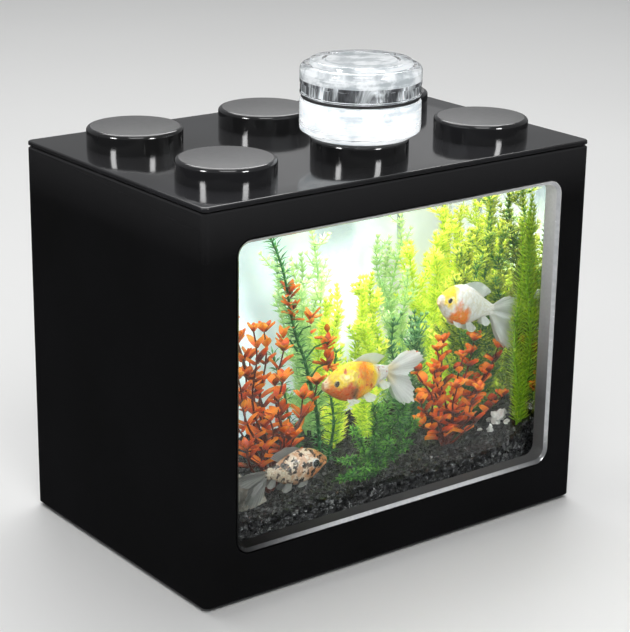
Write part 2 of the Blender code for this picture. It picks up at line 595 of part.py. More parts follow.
def main():
    for old in list(bpy.data.objects):
        bpy.data.objects.remove(old)

    casing_black = material("casing_black", (0.012, 0.012, 0.013), 0.18)
    lid_black = material("lid_black", (0.014, 0.014, 0.015), 0.08)
    base_black = material("base_black", (0.02, 0.02, 0.02), 0.55)
    rubber = material("pad_rubber", (0.05, 0.05, 0.05), 0.8)
    steel = material("steel", (0.6, 0.6, 0.6), 0.3, metallic=1.0)
    trim = material("bright_trim", (0.8, 0.82, 0.84), 0.2, metallic=0.8)
    glass = material("clear_glass", (0.95, 0.98, 0.97), 0.0, transmission=1.0)
    silicone = material("silicone", (0.85, 0.88, 0.88), 0.35, transmission=0.6)
    sheet = material("backdrop", (0.82, 0.88, 0.90), 0.6)
    gravel = material("black_gravel", (0.02, 0.02, 0.022), 0.7)
    stone = material("grey_stone", (0.35, 0.33, 0.30), 0.8)
    pale_stone = material("pale_stone", (0.8, 0.8, 0.78), 0.6)
    greens = {
        "fresh": material("leaf_fresh", (0.10, 0.32, 0.06), 0.5),
        "pale": material("leaf_pale", (0.28, 0.45, 0.16), 0.5),
        "lime": material("leaf_lime", (0.35, 0.55, 0.05), 0.5),
        "dark": material("leaf_dark", (0.03, 0.13, 0.05), 0.5),
    }
    red = material("leaf_red", (0.55, 0.10, 0.02), 0.5)
    orange = material("fish_orange", (0.9, 0.45, 0.05), 0.35)
    white_fish = material("fish_white", (0.9, 0.85, 0.75), 0.35)
    speckled = material("fish_speckled", (0.6, 0.5, 0.4), 0.35)
    clear = material("clear_plastic", (0.95, 0.97, 1.0), 0.03, transmission=1.0)
    white = material("white_plastic", (0.9, 0.9, 0.9), 0.4)
    board = material("board_white", (0.75, 0.78, 0.75), 0.4)
    chip = material("led_chip", (1.0, 0.98, 0.9), 0.3, glow=8.0)

    build_casing(casing_black)
    build_base(base_black, rubber, steel)
    build_window_frame(trim)
    build_tank(glass, silicone, sheet)
    build_gravel(gravel)
    build_decor(greens, red, stone, pale_stone)
    build_fish("fish_orange", (-0.0160, -0.0240, 0.0445), (0.0035, -0.0240, 0.0430),
               (0.0160, -0.0240, 0.0440), 0.0052, 0.0036, orange)
    build_fish("fish_white", (0.0238, -0.0185, 0.0590), (0.0425, -0.0185, 0.0545),
               (0.0525, -0.0185, 0.0500), 0.0052, 0.0036, white_fish)
    build_fish("fish_speckled", (-0.0160, -0.0258, 0.0255), (-0.0350, -0.0258, 0.0265),
               (-0.0430, -0.0258, 0.0265), 0.0050, 0.0034, speckled)

    lid_frame = build_lid(lid_black, clear)
    lamp_frame = build_lamp_body(lid_frame, clear, white, board, chip, steel, rubber)
    build_lamp_cap(lamp_frame, clear, white, steel)


main()
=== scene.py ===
"""The looks of the brick-shaped aquarium tank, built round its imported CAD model. Blender 4.5, metres."""

from math import copysign, cos, exp, pi, radians, sin

import bmesh
import bpy
import numpy as np
from mathutils import Matrix, Vector, noise


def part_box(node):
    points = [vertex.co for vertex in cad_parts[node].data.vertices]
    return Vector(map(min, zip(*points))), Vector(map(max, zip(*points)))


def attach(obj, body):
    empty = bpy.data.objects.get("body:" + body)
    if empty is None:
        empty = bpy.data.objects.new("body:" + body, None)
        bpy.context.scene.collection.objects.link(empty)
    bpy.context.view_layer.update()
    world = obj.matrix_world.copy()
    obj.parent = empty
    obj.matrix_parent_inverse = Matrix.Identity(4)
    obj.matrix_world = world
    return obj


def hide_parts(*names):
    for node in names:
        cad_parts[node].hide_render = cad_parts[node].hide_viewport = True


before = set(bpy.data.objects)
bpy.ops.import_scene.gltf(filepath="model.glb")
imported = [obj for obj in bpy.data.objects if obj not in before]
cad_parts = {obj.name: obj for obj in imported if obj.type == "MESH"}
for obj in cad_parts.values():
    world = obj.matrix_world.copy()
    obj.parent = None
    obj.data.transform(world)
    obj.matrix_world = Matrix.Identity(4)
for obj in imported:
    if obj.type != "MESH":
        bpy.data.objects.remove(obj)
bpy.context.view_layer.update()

CAMERA_PLACE = (-0.29236, -0.38425, 0.21303)
CAMERA_AZIMUTH = radians(-37.48)
CAMERA_ELEVATION = radians(18.376)
CAMERA_ROLL = radians(0.8355)
CAMERA_LENS = 110.28
CAMERA_SENSOR = 36.0

ROUND = 96  # sides of a turned piece
WATER_TOP = 0.0914
WATER_GAP = 0.0004  # between the water and the panes, kept as air
X, Z = Vector((1, 0, 0)), Vector((0, 0, 1))
RANDOM = np.random.default_rng(11)
draw = RANDOM.uniform


# ---------------------------------------------------------------- materials


def grey(tone):
    return (tone, tone, tone)


class Paint:
    """A Principled material whose maps are built node by node, in object space."""

    def __init__(self, name, colour, rough, **settings):
        self.material = bpy.data.materials.new(name)
        self.material.use_nodes = True
        self.tree = self.material.node_tree
        self.shader = self.tree.nodes["Principled BSDF"]
        self.place = self.add("ShaderNodeTexCoord").outputs["Object"]
        self.set(Base_Color=(*colour, 1.0), Roughness=rough, **settings)

    def add(self, kind, **settings):
        node = self.tree.nodes.new(kind)
        for key, value in settings.items():
            setattr(node, key, value)
        return node

    def set(self, **settings):
        for socket, value in settings.items():
            self.shader.inputs[socket.replace("_", " ")].default_value = value

    def fill(self, socket, value):
        """Gives a socket a number, a colour or another node's output."""
        if isinstance(value, (int, float)):
            socket.default_value = value
        elif isinstance(value, tuple):
            socket.default_value = (*value, 1.0)
        else:
            self.tree.links.new(value, socket)

    def feed(self, source, *sockets):
        for socket in sockets:
            self.tree.links.new(source, self.shader.inputs[socket])

    def noise(self, scale, detail=4.0, rough=0.55, distortion=0.0, vector=None):
        node = self.add("ShaderNodeTexNoise")
        self.fill(node.inputs["Vector"], vector or self.place)
        settings = {"Scale": scale, "Detail": detail, "Roughness": rough, "Distortion": distortion}
        for key, value in settings.items():
            node.inputs[key].default_value = value
        return node.outputs["Fac"]

    def cells(self, scale, vector=None):
        node = self.add("ShaderNodeTexVoronoi")
        self.fill(node.inputs["Vector"], vector or self.place)
        node.inputs["Scale"].default_value = scale
        return node.outputs["Distance"]

    def stretched(self, x, y, z):
        node = self.add("ShaderNodeMapping")
        self.fill(node.inputs["Vector"], self.place)
        node.inputs["Scale"].default_value = (x, y, z)
        return node.outputs["Vector"]

    def attribute(self, name, output="Fac"):
        return self.add("ShaderNodeAttribute", attribute_name=name).outputs[output]

    def axis(self, index):
        node = self.add("ShaderNodeSeparateXYZ")
        self.fill(node.inputs[0], self.place)
        return node.outputs[index]

    def ramp(self, factor, stops):
        node = self.add("ShaderNodeValToRGB")
        self.fill(node.inputs["Fac"], factor)
        elements = node.color_ramp.elements
        while len(elements) < len(stops):
            elements.new(0.5)
        for element, (position, colour) in zip(elements, stops):
            element.position = position
            element.color = (*colour, 1.0)
        return node.outputs["Color"]

    def span(self, source, low, high, to_low=0.0, to_high=1.0):
        node = self.add("ShaderNodeMapRange")
        self.fill(node.inputs["Value"], source)
        for key, value in {"From Min": low, "From Max": high, "To Min": to_low, "To Max": to_high}.items():
            node.inputs[key].default_value = value
        return node.outputs["Result"]

    def math(self, operation, first, second=0.0):
        node = self.add("ShaderNodeMath", operation=operation)
        self.fill(node.inputs[0], first)
        self.fill(node.inputs[1], second)
        return node.outputs[0]

    def plus(self, first, second):
        return self.math("ADD", first, second)

    def times(self, first, second):
        return self.math("MULTIPLY", first, second)

    def mix(self, factor, first, second):
        node = self.add("ShaderNodeMix", data_type="RGBA", blend_type="MIX")
        self.fill(node.inputs["Factor"], factor)
        self.fill(node.inputs[6], first)
        self.fill(node.inputs[7], second)
        return node.outputs[2]

    def bump(self, height, depth, strength=1.0):
        """Adds a bump on top of those the shader already has."""
        node = self.add("ShaderNodeBump")
        self.fill(node.inputs["Height"], height)
        node.inputs["Distance"].default_value = depth
        node.inputs["Strength"].default_value = strength
        for link in self.shader.inputs["Normal"].links:
            self.fill(node.inputs["Normal"], link.from_socket)
        self.feed(node.outputs["Normal"], "Normal")

    def grain(self, source, dark, pale, smooth, coarse):
        """Colour and roughness that both follow one noise."""
        self.feed(self.ramp(source, [(0.3, dark), (0.7, pale)]), "Base Color")
        self.roughness(source, smooth, coarse)

    def roughness(self, source, smooth, coarse):
        self.feed(self.span(source, 0.3, 0.7, smooth, coarse), "Roughness")

    def glow(self, colour, strength):
        self.feed(colour, "Emission Color")
        self.set(Emission_Strength=strength)


def gloss_black(name, tone, rough, level, wave, painted_light_tone=None):
    """Glossy moulded black plastic: fine haze, flow marks, hair scratches and, if asked, a top made paler by
    painted light.
    """
    paint = Paint(name, (tone, tone, tone * 1.08), rough, Specular_IOR_Level=level)
    shade = [(0.3, grey(tone * 0.8)), (0.75, (tone * 1.25, tone * 1.25, tone * 1.4))]
    shade = paint.ramp(paint.noise(26.0, 3.0), shade)
    # Painted light: toward the top the colour turns paler, as if lit from above.
    if painted_light_tone:
        rim = paint.span(paint.axis(2), 0.086, 0.099)
        shade = paint.mix(rim, shade, (painted_light_tone, painted_light_tone, painted_light_tone * 1.05))
    paint.feed(shade, "Base Color")
    dust = paint.span(paint.noise(900.0, 5.0, 0.7), 0.45, 0.8, 0.0, 0.05)
    hair = paint.noise(60.0, 6.0, 0.8, 0.6, paint.stretched(1.0, 1.0, 22.0))
    haze = paint.plus(dust, paint.span(hair, 0.62, 0.75, 0.0, 0.06))
    paint.feed(paint.plus(haze, rough), "Roughness")
    paint.bump(paint.noise(wave, 1.0, 0.4), 0.00003, 0.35)
    return paint.material


def matt_black(name):
    paint = Paint(name, grey(0.018), 0.55)
    grain = paint.noise(2600.0, 3.0, 0.7)
    paint.grain(grain, grey(0.012), grey(0.028), 0.48, 0.66)
    paint.bump(grain, 0.00006)
    return paint.material


def rubber(name, tone=0.035):
    paint = Paint(name, grey(tone), 0.75)
    grain = paint.noise(1500.0, 4.0, 0.65)
    paint.grain(grain, grey(tone * 0.7), grey(tone * 1.5), 0.62, 0.88)
    paint.bump(grain, 0.00005)
    return paint.material


def steel(name, tone=0.62):
    paint = Paint(name, grey(tone), 0.28, Metallic=1.0)
    brushed = paint.noise(420.0, 5.0, 0.7, 0.0, paint.stretched(1.0, 9.0, 1.0))
    paint.grain(brushed, grey(tone * 0.85), grey(tone * 1.15), 0.2, 0.4)
    paint.bump(brushed, 0.00002)
    return paint.material


def bright_trim():
    """The polished chamfer of the window ring, darkened by painted shade at its lower left and in its lower
    right corner.
    """
    paint = Paint("bright_trim", (0.82, 0.84, 0.86), 0.2, Metallic=0.35)
    drawn = paint.noise(900.0, 4.0, 0.6, 0.0, paint.stretched(1.0, 0.05, 1.0))
    # Painted shade: the chamfer darkens toward the left and in its lower right corner, while its top edge stays
    # bright.
    painted_shade_left = paint.math("POWER", paint.span(paint.axis(0), -0.05, -0.02, 0.05, 1.0), 1.8)
    level = paint.math("MAXIMUM", painted_shade_left, paint.span(paint.axis(2), 0.086, 0.091))
    corner = paint.times(paint.span(paint.axis(0), 0.026, 0.049), paint.span(paint.axis(2), 0.021, 0.014))
    level = paint.times(level, paint.span(corner, 0.0, 1.0, 1.0, 0.15))
    bright = paint.ramp(drawn, [(0.3, (0.74, 0.76, 0.78)), (0.7, (0.92, 0.93, 0.95))])
    paint.feed(paint.mix(level, grey(0.012), bright), "Base Color")
    paint.roughness(drawn, 0.14, 0.28)
    return paint.material


def satin_trim():
    """Satin jambs of the window ring, coloured by painted light and shade: near black low and to the left,
    paler toward the top right.
    """
    paint = Paint("satin_trim", grey(0.2), 0.5, Specular_IOR_Level=0.15)
    grain = paint.noise(1200.0, 4.0, 0.6)
    # Painted light: the jambs turn paler upward on the right and a little toward the right; elsewhere painted
    # shade leaves them near black.
    rise = paint.span(paint.axis(2), 0.03, 0.088, 0.0, 0.62)
    rise = paint.times(rise, paint.span(paint.axis(0), 0.02, 0.045))
    across = paint.span(paint.axis(0), -0.045, 0.005, 0.0, 0.08)
    level = paint.times(paint.plus(rise, across), paint.span(grain, 0.3, 0.7, 0.94, 1.06))
    paint.feed(paint.ramp(level, [(0.0, grey(0.004)), (1.0, grey(1.0))]), "Base Color")
    paint.roughness(grain, 0.42, 0.58)
    paint.bump(grain, 0.00002)
    return paint.material


def clear_glass(name, tint=(0.97, 1.0, 0.99), index=1.5, smear=0.01):
    """Clear glass or plastic with a trace of wiping marks in its gloss."""
    paint = Paint(name, tint, 0.0, Transmission_Weight=1.0, IOR=index)
    paint.feed(paint.span(paint.noise(45.0, 5.0, 0.7, 1.2), 0.55, 0.8, 0.0, smear), "Roughness")
    return paint.material


def water_clear():
    paint = Paint("water", (0.965, 0.995, 0.985), 0.0, Transmission_Weight=1.0, IOR=1.333)
    paint.bump(paint.noise(70.0, 2.0, 0.4), 0.00004, 0.15)
    return paint.material


def silicone():
    paint = Paint("silicone", (0.86, 0.9, 0.9), 0.3, Transmission_Weight=0.35, IOR=1.41)
    wobble = paint.noise(240.0, 3.0)
    paint.roughness(wobble, 0.22, 0.42)
    paint.bump(wobble, 0.00015, 0.6)
    return paint.material


def backdrop():
    """A pale sheet, bluer to the left and darker there with painted shade, with a soft grey patch of painted
    shadow and a thin dark line in its upper part. Its glow is painted light.
    """
    paint = Paint("backdrop", (0.86, 0.92, 0.94), 0.6)
    # Darker toward the left: painted shade for the light falling off; the blue tint is the sheet's own.
    stops = [(0.0, (0.4, 0.47, 0.51)), (0.5, (0.68, 0.74, 0.79)), (1.0, (0.96, 0.97, 0.98))]
    tone = paint.ramp(paint.span(paint.axis(0), -0.045, 0.02), stops)
    soft = paint.mix(paint.span(paint.noise(22.0, 3.0), 0.35, 0.7, 0.0, 0.25), tone, (0.62, 0.78, 0.74))
    foot = paint.span(paint.axis(2), 0.058, 0.07)
    # The grey patch is a painted shadow.
    patch = paint.times(paint.span(paint.axis(0), 0.008, 0.011), paint.span(paint.axis(0), 0.026, 0.023))
    soft = paint.mix(paint.times(paint.times(patch, foot), 0.55), soft, (0.3, 0.42, 0.46))
    line = paint.times(paint.span(paint.axis(0), 0.0385, 0.039), paint.span(paint.axis(0), 0.041, 0.0405))
    soft = paint.mix(paint.times(line, foot), soft, (0.16, 0.2, 0.21))
    paint.feed(soft, "Base Color")
    # The glow is painted light that brightens the sheet.
    paint.glow(soft, 0.52)
    paint.bump(paint.noise(1400.0, 3.0), 0.00003)
    return paint.material


def gravel_grains():
    paint = Paint("black_gravel", (0.02, 0.02, 0.022), 0.4, Specular_IOR_Level=0.4)
    speck = paint.noise(1800.0, 4.0, 0.65)
    stops = [(0.0, (0.002, 0.002, 0.003)), (0.45, (0.01, 0.01, 0.012))]
    stops += [(0.8, (0.042, 0.042, 0.045)), (1.0, grey(0.13))]
    base = paint.ramp(paint.attribute("tone"), stops)
    paint.feed(paint.mix(paint.span(speck, 0.55, 0.8, 0.0, 0.3), base, (0.06, 0.06, 0.065)), "Base Color")
    paint.roughness(speck, 0.18, 0.42)
    paint.bump(speck, 0.0002, 0.8)
    return paint.material


def rough_stone(name, dark, pale, vein):
    paint = Paint(name, pale, 0.75)
    layers = paint.noise(130.0, 7.0, 0.65, 0.8)
    pits = paint.cells(420.0)
    colour = paint.ramp(layers, [(0.28, dark), (0.5, pale), (0.62, vein), (0.8, pale)])
    paint.feed(paint.mix(paint.span(pits, 0.0, 0.25, 0.6, 0.0), colour, dark), "Base Color")
    paint.roughness(layers, 0.55, 0.9)
    paint.bump(layers, 0.0008)
    paint.bump(pits, 0.0003, 0.6)
    return paint.material


def leaf(name, deep, fresh, tip, glow, rough=0.38):
    """Leaf flesh from its stem colour to its tip colour, mottled and waxy, with a little glow of its own colour
    that is painted light.
    """
    paint = Paint(name, fresh, rough, Specular_IOR_Level=0.3)
    paint.set(Subsurface_Weight=0.25, Subsurface_Radius=(0.001, 0.0012, 0.0004), Subsurface_Scale=1.0)
    mottle = paint.noise(700.0, 4.0, 0.6)
    shift = paint.span(paint.attribute("tone"), 0.0, 1.0, -0.45, 0.45)
    shift = paint.plus(shift, paint.span(mottle, 0.3, 0.7, -0.1, 0.1))
    colour = paint.ramp(paint.plus(paint.attribute("along"), shift), [(0.0, deep), (0.5, fresh), (1.0, tip)])
    paint.feed(colour, "Base Color")
    # The glow is painted light: the leaves shine with their own colour.
    paint.glow(colour, glow)
    paint.roughness(mottle, rough - 0.1, rough + 0.16)
    paint.bump(mottle, 0.00012, 0.7)
    return paint.material


def fish_skin(name, top, bottom, spot, spot_scale, spot_level, second=None):
    """Scaled skin coloured along the body, with one row of tones for the back and one for the belly."""
    paint = Paint(name, top[0][1], 0.28, Specular_IOR_Level=0.55, Coat_Weight=0.3, Coat_Roughness=0.12)
    paint.set(Subsurface_Weight=0.08, Subsurface_Radius=(0.001, 0.0005, 0.0003))
    drift = paint.span(paint.noise(170.0, 3.0, 0.55, 0.4), 0.3, 0.7, -0.09, 0.09)
    along = paint.plus(paint.attribute("along"), drift)
    drift = paint.span(paint.noise(260.0, 3.0, 0.55), 0.3, 0.7, -0.45, 0.45)
    high = paint.plus(paint.attribute("high"), drift)
    colour = paint.mix(paint.span(high, -0.25, 0.15), paint.ramp(along, bottom), paint.ramp(along, top))
    if second:
        blotch = paint.noise(spot_scale * 0.55, 4.0, 0.6, 0.5)
        colour = paint.mix(paint.span(blotch, 0.5, 0.56, 0.0, 0.75), colour, second)
    dots = paint.noise(spot_scale, 3.0, 0.55, 0.25)
    colour = paint.mix(paint.span(dots, spot_level, spot_level + 0.03), colour, spot)
    scales = paint.cells(1.0, paint.attribute("skin", "Vector"))
    colour = paint.mix(paint.span(scales, 0.3, 0.75, 0.0, 0.3), colour, tuple(0.4 * c for c in top[1][1]))
    paint.feed(colour, "Base Color")
    paint.feed(paint.span(scales, 0.2, 0.8, 0.22, 0.42), "Roughness")
    paint.bump(paint.span(scales, 0.0, 0.8, 1.0, 0.0), 0.0002, 0.8)
    return paint.material


def fish_fin(name, root, edge, streaked=0.3):
    """Thin fin membrane with rays."""
    paint = Paint(name, edge, 0.3, Transmission_Weight=0.55, Specular_IOR_Level=0.4, IOR=1.2)
    streak = paint.math("SINE", paint.times(paint.attribute("ray"), 120.0))
    streak = paint.span(streak, -1.0, 1.0)
    mark = paint.times(streak, paint.span(paint.noise(260.0, 3.0, 0.6), 0.35, 0.65, 0.3, 1.2))
    stops = [(0.0, root), (0.4, edge), (1.0, tuple(min(1.0, c * 1.06) for c in edge))]
    colour = paint.ramp(paint.attribute("along"), stops)
    colour = paint.mix(paint.span(mark, 0.0, 1.0, 0.0, streaked), colour, tuple(0.45 * c for c in edge))
    paint.feed(colour, "Base Color")
    paint.bump(streak, 0.00005, 0.5)
    return paint.material


def eye_parts(name, deep, bright):
    """Ring and pupil of a fish's eye."""
    ring = Paint(name, bright, 0.2, Metallic=0.3)
    ring.feed(ring.ramp(ring.noise(2500.0), [(0.3, deep), (0.7, bright)]), "Base Color")
    pupil = Paint("fish_eye_pupil", (0.004, 0.004, 0.005), 0.05, Coat_Weight=1.0, Coat_Roughness=0.02)
    pupil.feed(pupil.ramp(pupil.noise(3000.0), [(0.3, grey(0.002)), (0.7, grey(0.012))]), "Base Color")
    return [ring.material, pupil.material]


def lamp_frost(name, glow, shade=(0.6, 0.65, 0.68), low=0.35):
    """Frosted plastic lit from inside, a little uneven."""
    paint = Paint(name, (0.26, 0.28, 0.29), 0.35)
    cloud = paint.noise(190.0, 5.0, 0.65)
    ripple = paint.noise(330.0, 4.0, 0.6, 0.5, paint.stretched(0.25, 0.25, 3.0))
    level = paint.plus(cloud, paint.span(ripple, 0.3, 0.7, -0.14, 0.14))
    paint.glow(paint.ramp(level, [(low, shade), (low + 0.17, (0.97, 0.99, 1.0))]), glow)
    paint.roughness(cloud, 0.28, 0.5)
    paint.bump(cloud, 0.0001, 0.5)
    return paint.material


def lamp_band():
    """The inner wall behind the grip ribs, where dark and lit patches alternate."""
    paint = Paint("lamp_band", (0.1, 0.1, 0.11), 0.3)
    patches = paint.noise(150.0, 4.0, 0.7, 0.9, paint.stretched(1.0, 1.0, 0.35))
    stops = [(0.34, (0.01, 0.01, 0.012)), (0.46, (0.07, 0.075, 0.08))]
    colour = paint.ramp(patches, stops + [(0.54, (0.34, 0.36, 0.37)), (0.62, (0.8, 0.83, 0.85))])
    paint.feed(colour, "Base Color")
    paint.glow(colour, 0.55)
    paint.bump(patches, 0.0002)
    return paint.material


def floor_paint():
    paint = Paint("studio_floor", (0.8, 0.8, 0.79), 0.55, Specular_IOR_Level=0.25)
    tones = [(0.3, (0.78, 0.78, 0.77)), (0.7, (0.82, 0.82, 0.81))]
    paint.feed(paint.ramp(paint.noise(3.0, 2.0), tones), "Base Color")
    return paint.material


# ---------------------------------------------------------------- mesh tools


def piece(name, verts, faces, materials, body, slot, replaces=(), smooth=35, indices=None, attributes=None):
    """A mesh object that rides on a body and stands for CAD nodes."""
    mesh = bpy.data.meshes.new(name)
    mesh.from_pydata([tuple(v) for v in verts], [], [tuple(f) for f in faces])
    for made_of in materials if isinstance(materials, list) else [materials]:
        mesh.materials.append(made_of)
    if indices is not None:
        mesh.polygons.foreach_set("material_index", np.asarray(indices, np.int32))
    for key, values in (attributes or {}).items():
        values = np.asarray(values, np.float32)
        kind, field = ("FLOAT_VECTOR", "vector") if values.ndim == 2 else ("FLOAT", "value")
        mesh.attributes.new(key, kind, "POINT").data.foreach_set(field, values.ravel())
    if smooth:
        mesh.shade_smooth()
        mesh.set_sharp_from_angle(angle=radians(smooth))
    mesh.validate()
    made = bpy.data.objects.new(name, mesh)
    bpy.context.scene.collection.objects.link(made)
    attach(made, body)
    if replaces:
        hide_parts(*replaces)
    return made


def skin(loops, joined=False):
    """(points, faces) of a closed skin through equal loops, given bottom up and anticlockwise."""
    count = len(loops[0])
    rows = len(loops)
    faces = []
    for row in range(rows if joined else rows - 1):
        low = row * count
        high = (row + 1) % rows * count
        faces += [(low + i, low + (i + 1) % count, high + (i + 1) % count, high + i) for i in range(count)]
    if not joined:
        faces.append(tuple(reversed(range(count))))
        faces.append(tuple((rows - 1) * count + i for i in range(count)))
    return [point for loop in loops for point in loop], faces


def gather(parts):
    """Joins (points, faces) pairs into one pair."""
    verts, faces = [], []
    for points, polygons in parts:
        offset = len(verts)
        verts += list(points)
        faces += [tuple(i + offset for i in polygon) for polygon in polygons]
    return verts, faces


def turned_angle(step, steps):
    return 2 * pi * step / steps


def circle(radius, z, centre=(0.0, 0.0), sides=ROUND):
    angles = [turned_angle(i, sides) for i in range(sides)]
    return [(centre[0] + radius * cos(a), centre[1] + radius * sin(a), z) for a in angles]


def arc(centre, radius, start, stop, steps):
    """(r, z) points of a profile's rounded edge, by angles in degrees."""
    angles = [radians(start + (stop - start) * i / steps) for i in range(steps + 1)]
    return [(centre[0] + radius * cos(a), centre[1] + radius * sin(a)) for a in angles]


def rounded(half_x, half_y, radius, steps=8):
    """A rectangle with round corners."""
    points = []
    for quarter, (sx, sy) in enumerate(((1, 1), (-1, 1), (-1, -1), (1, -1))):
        for step in range(steps + 1):
            angle = (quarter + step / steps) * pi / 2
            x = sx * (half_x - radius) + radius * cos(angle)
            points.append((x, sy * (half_y - radius) + radius * sin(angle)))
    return points


def outward(verts, faces):
    """The same mesh with every island's faces turned out."""
    bm = bmesh.new()
    made = [bm.verts.new(v) for v in verts]
    for face in faces:
        bm.faces.new([made[i] for i in face])
    bmesh.ops.recalc_face_normals(bm, faces=bm.faces)
    bm.verts.index_update()
    turned = [tuple(v.index for v in face.verts) for face in bm.faces]
    bm.free()
    return verts, turned


def sculpt(base, steps):
    """Applies EXACT booleans to a (points, faces) body, each an operation and another body."""
    made = []
    for body in [base] + [other for _, other in steps]:
        points, polygons = outward(*body)
        mesh = bpy.data.meshes.new("scratch")
        mesh.from_pydata(points, [], polygons)
        made.append(bpy.data.objects.new("scratch", mesh))
        bpy.context.scene.collection.objects.link(made[-1])
    for other, (operation, _) in zip(made[1:], steps):
        modifier = made[0].modifiers.new("cut", "BOOLEAN")
        modifier.operation = operation
        modifier.solver = "EXACT"
        modifier.object = other
    bpy.context.view_layer.update()
    result = made[0].evaluated_get(bpy.context.evaluated_depsgraph_get()).to_mesh()
    points = [tuple(v.co) for v in result.vertices]
    polygons = [tuple(p.vertices) for p in result.polygons]
    for thing in made:
        bpy.data.objects.remove(thing)
    return points, polygons


def grid_rim(count, rows):
    """Indices of the points round a grid of rows of points, count in each row."""
    rim = list(range(count)) + [(i + 1) * count - 1 for i in range(1, rows)]
    rim += [(rows - 1) * count + j for j in range(count - 2, -1, -1)]
    return rim + [i * count for i in range(rows - 2, 0, -1)]


def middle_of(node):
    """Centre of a node's box."""
    low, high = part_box(node)
    return [(a + b) / 2 for a, b in zip(low, high)]


# ---------------------------------------------------------------- window and lid


def build_window_frame():
    """The ring in the window: a polished chamfer in front of satin jambs."""
    low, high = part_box("window_frame")
    ring = high[1] - low[1]
    lip = 0.0014
    half_x = (high[0] - low[0]) / 2 - lip
    half_z = (high[2] - low[2]) / 2 - lip
    middle = (high[2] + low[2]) / 2
    radius = 0.0043
    lip_front = 0.0025
    section = [(0.0003, 0.0), (0.00045, 0.0), (0.00052, 0.00003), (0.00125, 0.00072), (0.0013, 0.0008)]
    polished = (1, 2)
    section += [(0.0013, ring), (0.0003, ring), (-lip, ring), (-lip, lip_front), (0.0003, lip_front)]
    loops = []
    for inset, depth in section:
        flat = rounded(half_x - inset, half_z - inset, radius - inset, 12)
        loops.append([(x, low[1] + depth, middle + z) for x, z in flat])
    verts, faces = outward(*skin(loops, joined=True))
    indices = [int(row in polished) for row in range(len(section)) for _ in loops[0]]
    materials = [satin_trim(), bright_trim()]
    piece("window_trim", verts, faces, materials, "tank", "bright_trim", ["window_frame"], indices=indices)


def build_lid():
    """The lid moulding with finely rounded edges: plate, skirt, six studs, lamp port."""
    low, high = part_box("lid")
    foot = low[2]
    top = 0.1
    half_x, half_y = high[0], high[1]
    inner_x, inner_y = half_x - 0.0025, half_y - 0.0025
    edge = 0.0004
    steps = [(inner_x - 0.0018, inner_y - 0.0018, 0.0004, z) for z in (0.098, foot)]
    steps += [(inner_x - 0.0006, inner_y - 0.0006, 0.0006, foot), (inner_x, inner_y, 0.0006, foot + 0.001)]
    steps += [(inner_x, inner_y, 0.0006, 0.0988), (half_x - 0.0002, half_y - 0.0002, 0.0016, 0.0988)]
    steps += [(half_x, half_y, 0.0016, 0.099)]
    steps += [(half_x + x, half_y + x, 0.0016, z) for x, z in arc((-edge, top - edge), edge, 0, 90, 6)]
    plate = skin([[(x, y, z) for x, y in rounded(a, b, radius)] for a, b, radius, z in steps])

    pitch = 0.04
    centres = [(column * pitch, row * pitch / 2) for row in (-1, 1) for column in (-1, 0, 1)]
    radius = 0.0122
    stud_top = 0.105
    edge = 0.001
    profile = [(radius, top - 0.0006), (radius, top + 0.0004)]
    profile += arc((radius - edge, stud_top - edge), edge, 0, 90, 7)
    studs = gather([skin([circle(r, z, centre) for r, z in profile]) for centre in centres])

    hollow = [(0.006, foot), (0.006, 0.1022)]
    lamp_port = [(0.0088, foot), (0.0088, 0.0992), (0.0061, 0.0992), (0.0061, 0.11)]
    bores = [lamp_port if centre == (0.0, -pitch / 2) else hollow for centre in centres]
    holes = [skin([circle(r, z, centre, 48) for r, z in bore]) for bore, centre in zip(bores, centres)]
    verts, faces = sculpt(plate, [("UNION", studs), ("DIFFERENCE", gather(holes))])
    indices = [int(min(verts[i][2] for i in face) > stud_top - 0.00002) for face in faces]
    deck = gloss_black("lid_black", 0.021, 0.09, 0.5, 60.0)
    tops = gloss_black("stud_top_black", 0.016, 0.34, 0.7, 60.0)
    piece("lid_moulding", verts, faces, [deck, tops], "lid", "lid_black", ["lid"], 30, indices)


# ---------------------------------------------------------------- water, gravel and stones


def inside():
    """(low, high) of the water: the space between the panes, over the floor glass."""
    low = (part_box("glass_left")[1][0] + WATER_GAP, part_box("glass_front")[1][1] + WATER_GAP / 2,
           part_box("gravel_bed")[0][2] + 0.0003)
    return low, (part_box("glass_right")[0][0] - WATER_GAP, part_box("glass_back")[0][1] - WATER_GAP, WATER_TOP)


def kept_inside(points, below, above):
    """The points, moved where needed to stay that far inside the water."""
    low, high = inside()
    return np.clip(points, np.array(low) + below, np.array(high) - above)


def build_water():
    """The body of water, with a faint swell on its surface."""
    low, high = inside()
    columns, rows = 36, 22
    wide = columns + 1
    verts = []
    for j in range(rows + 1):
        for i in range(wide):
            x = low[0] + (high[0] - low[0]) * i / columns
            y = low[1] + (high[1] - low[1]) * j / rows
            swell = 0.00012 * sin(170 * x + 90 * y) + 0.00008 * sin(310 * y - 120 * x)
            verts.append((x, y, high[2] + swell))
    corners = [j * wide + i for j in range(rows) for i in range(columns)]
    faces = [(a, a + 1, a + wide + 1, a + wide) for a in corners]
    border = grid_rim(wide, rows + 1)
    start = len(verts)
    count = len(border)
    verts += [(verts[i][0], verts[i][1], low[2]) for i in border]
    faces += [(start + k, start + (k + 1) % count, border[(k + 1) % count], border[k]) for k in range(count)]
    faces.append(tuple(start + k for k in reversed(range(count))))
    made = piece("water", verts, faces, water_clear(), "tank", "tank_glass", smooth=30)
    made.visible_shadow = False


def gravel_height(x, y):
    """The same lie of the gravel as the CAD bed has."""
    low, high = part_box("gravel_bed")
    back = (y - low[1]) / (high[1] - low[1])
    right = max(0.0, (x - 0.03) / 0.024)
    return 0.0155 + 0.0035 * back + 0.007 * min(right, 1.0) ** 2


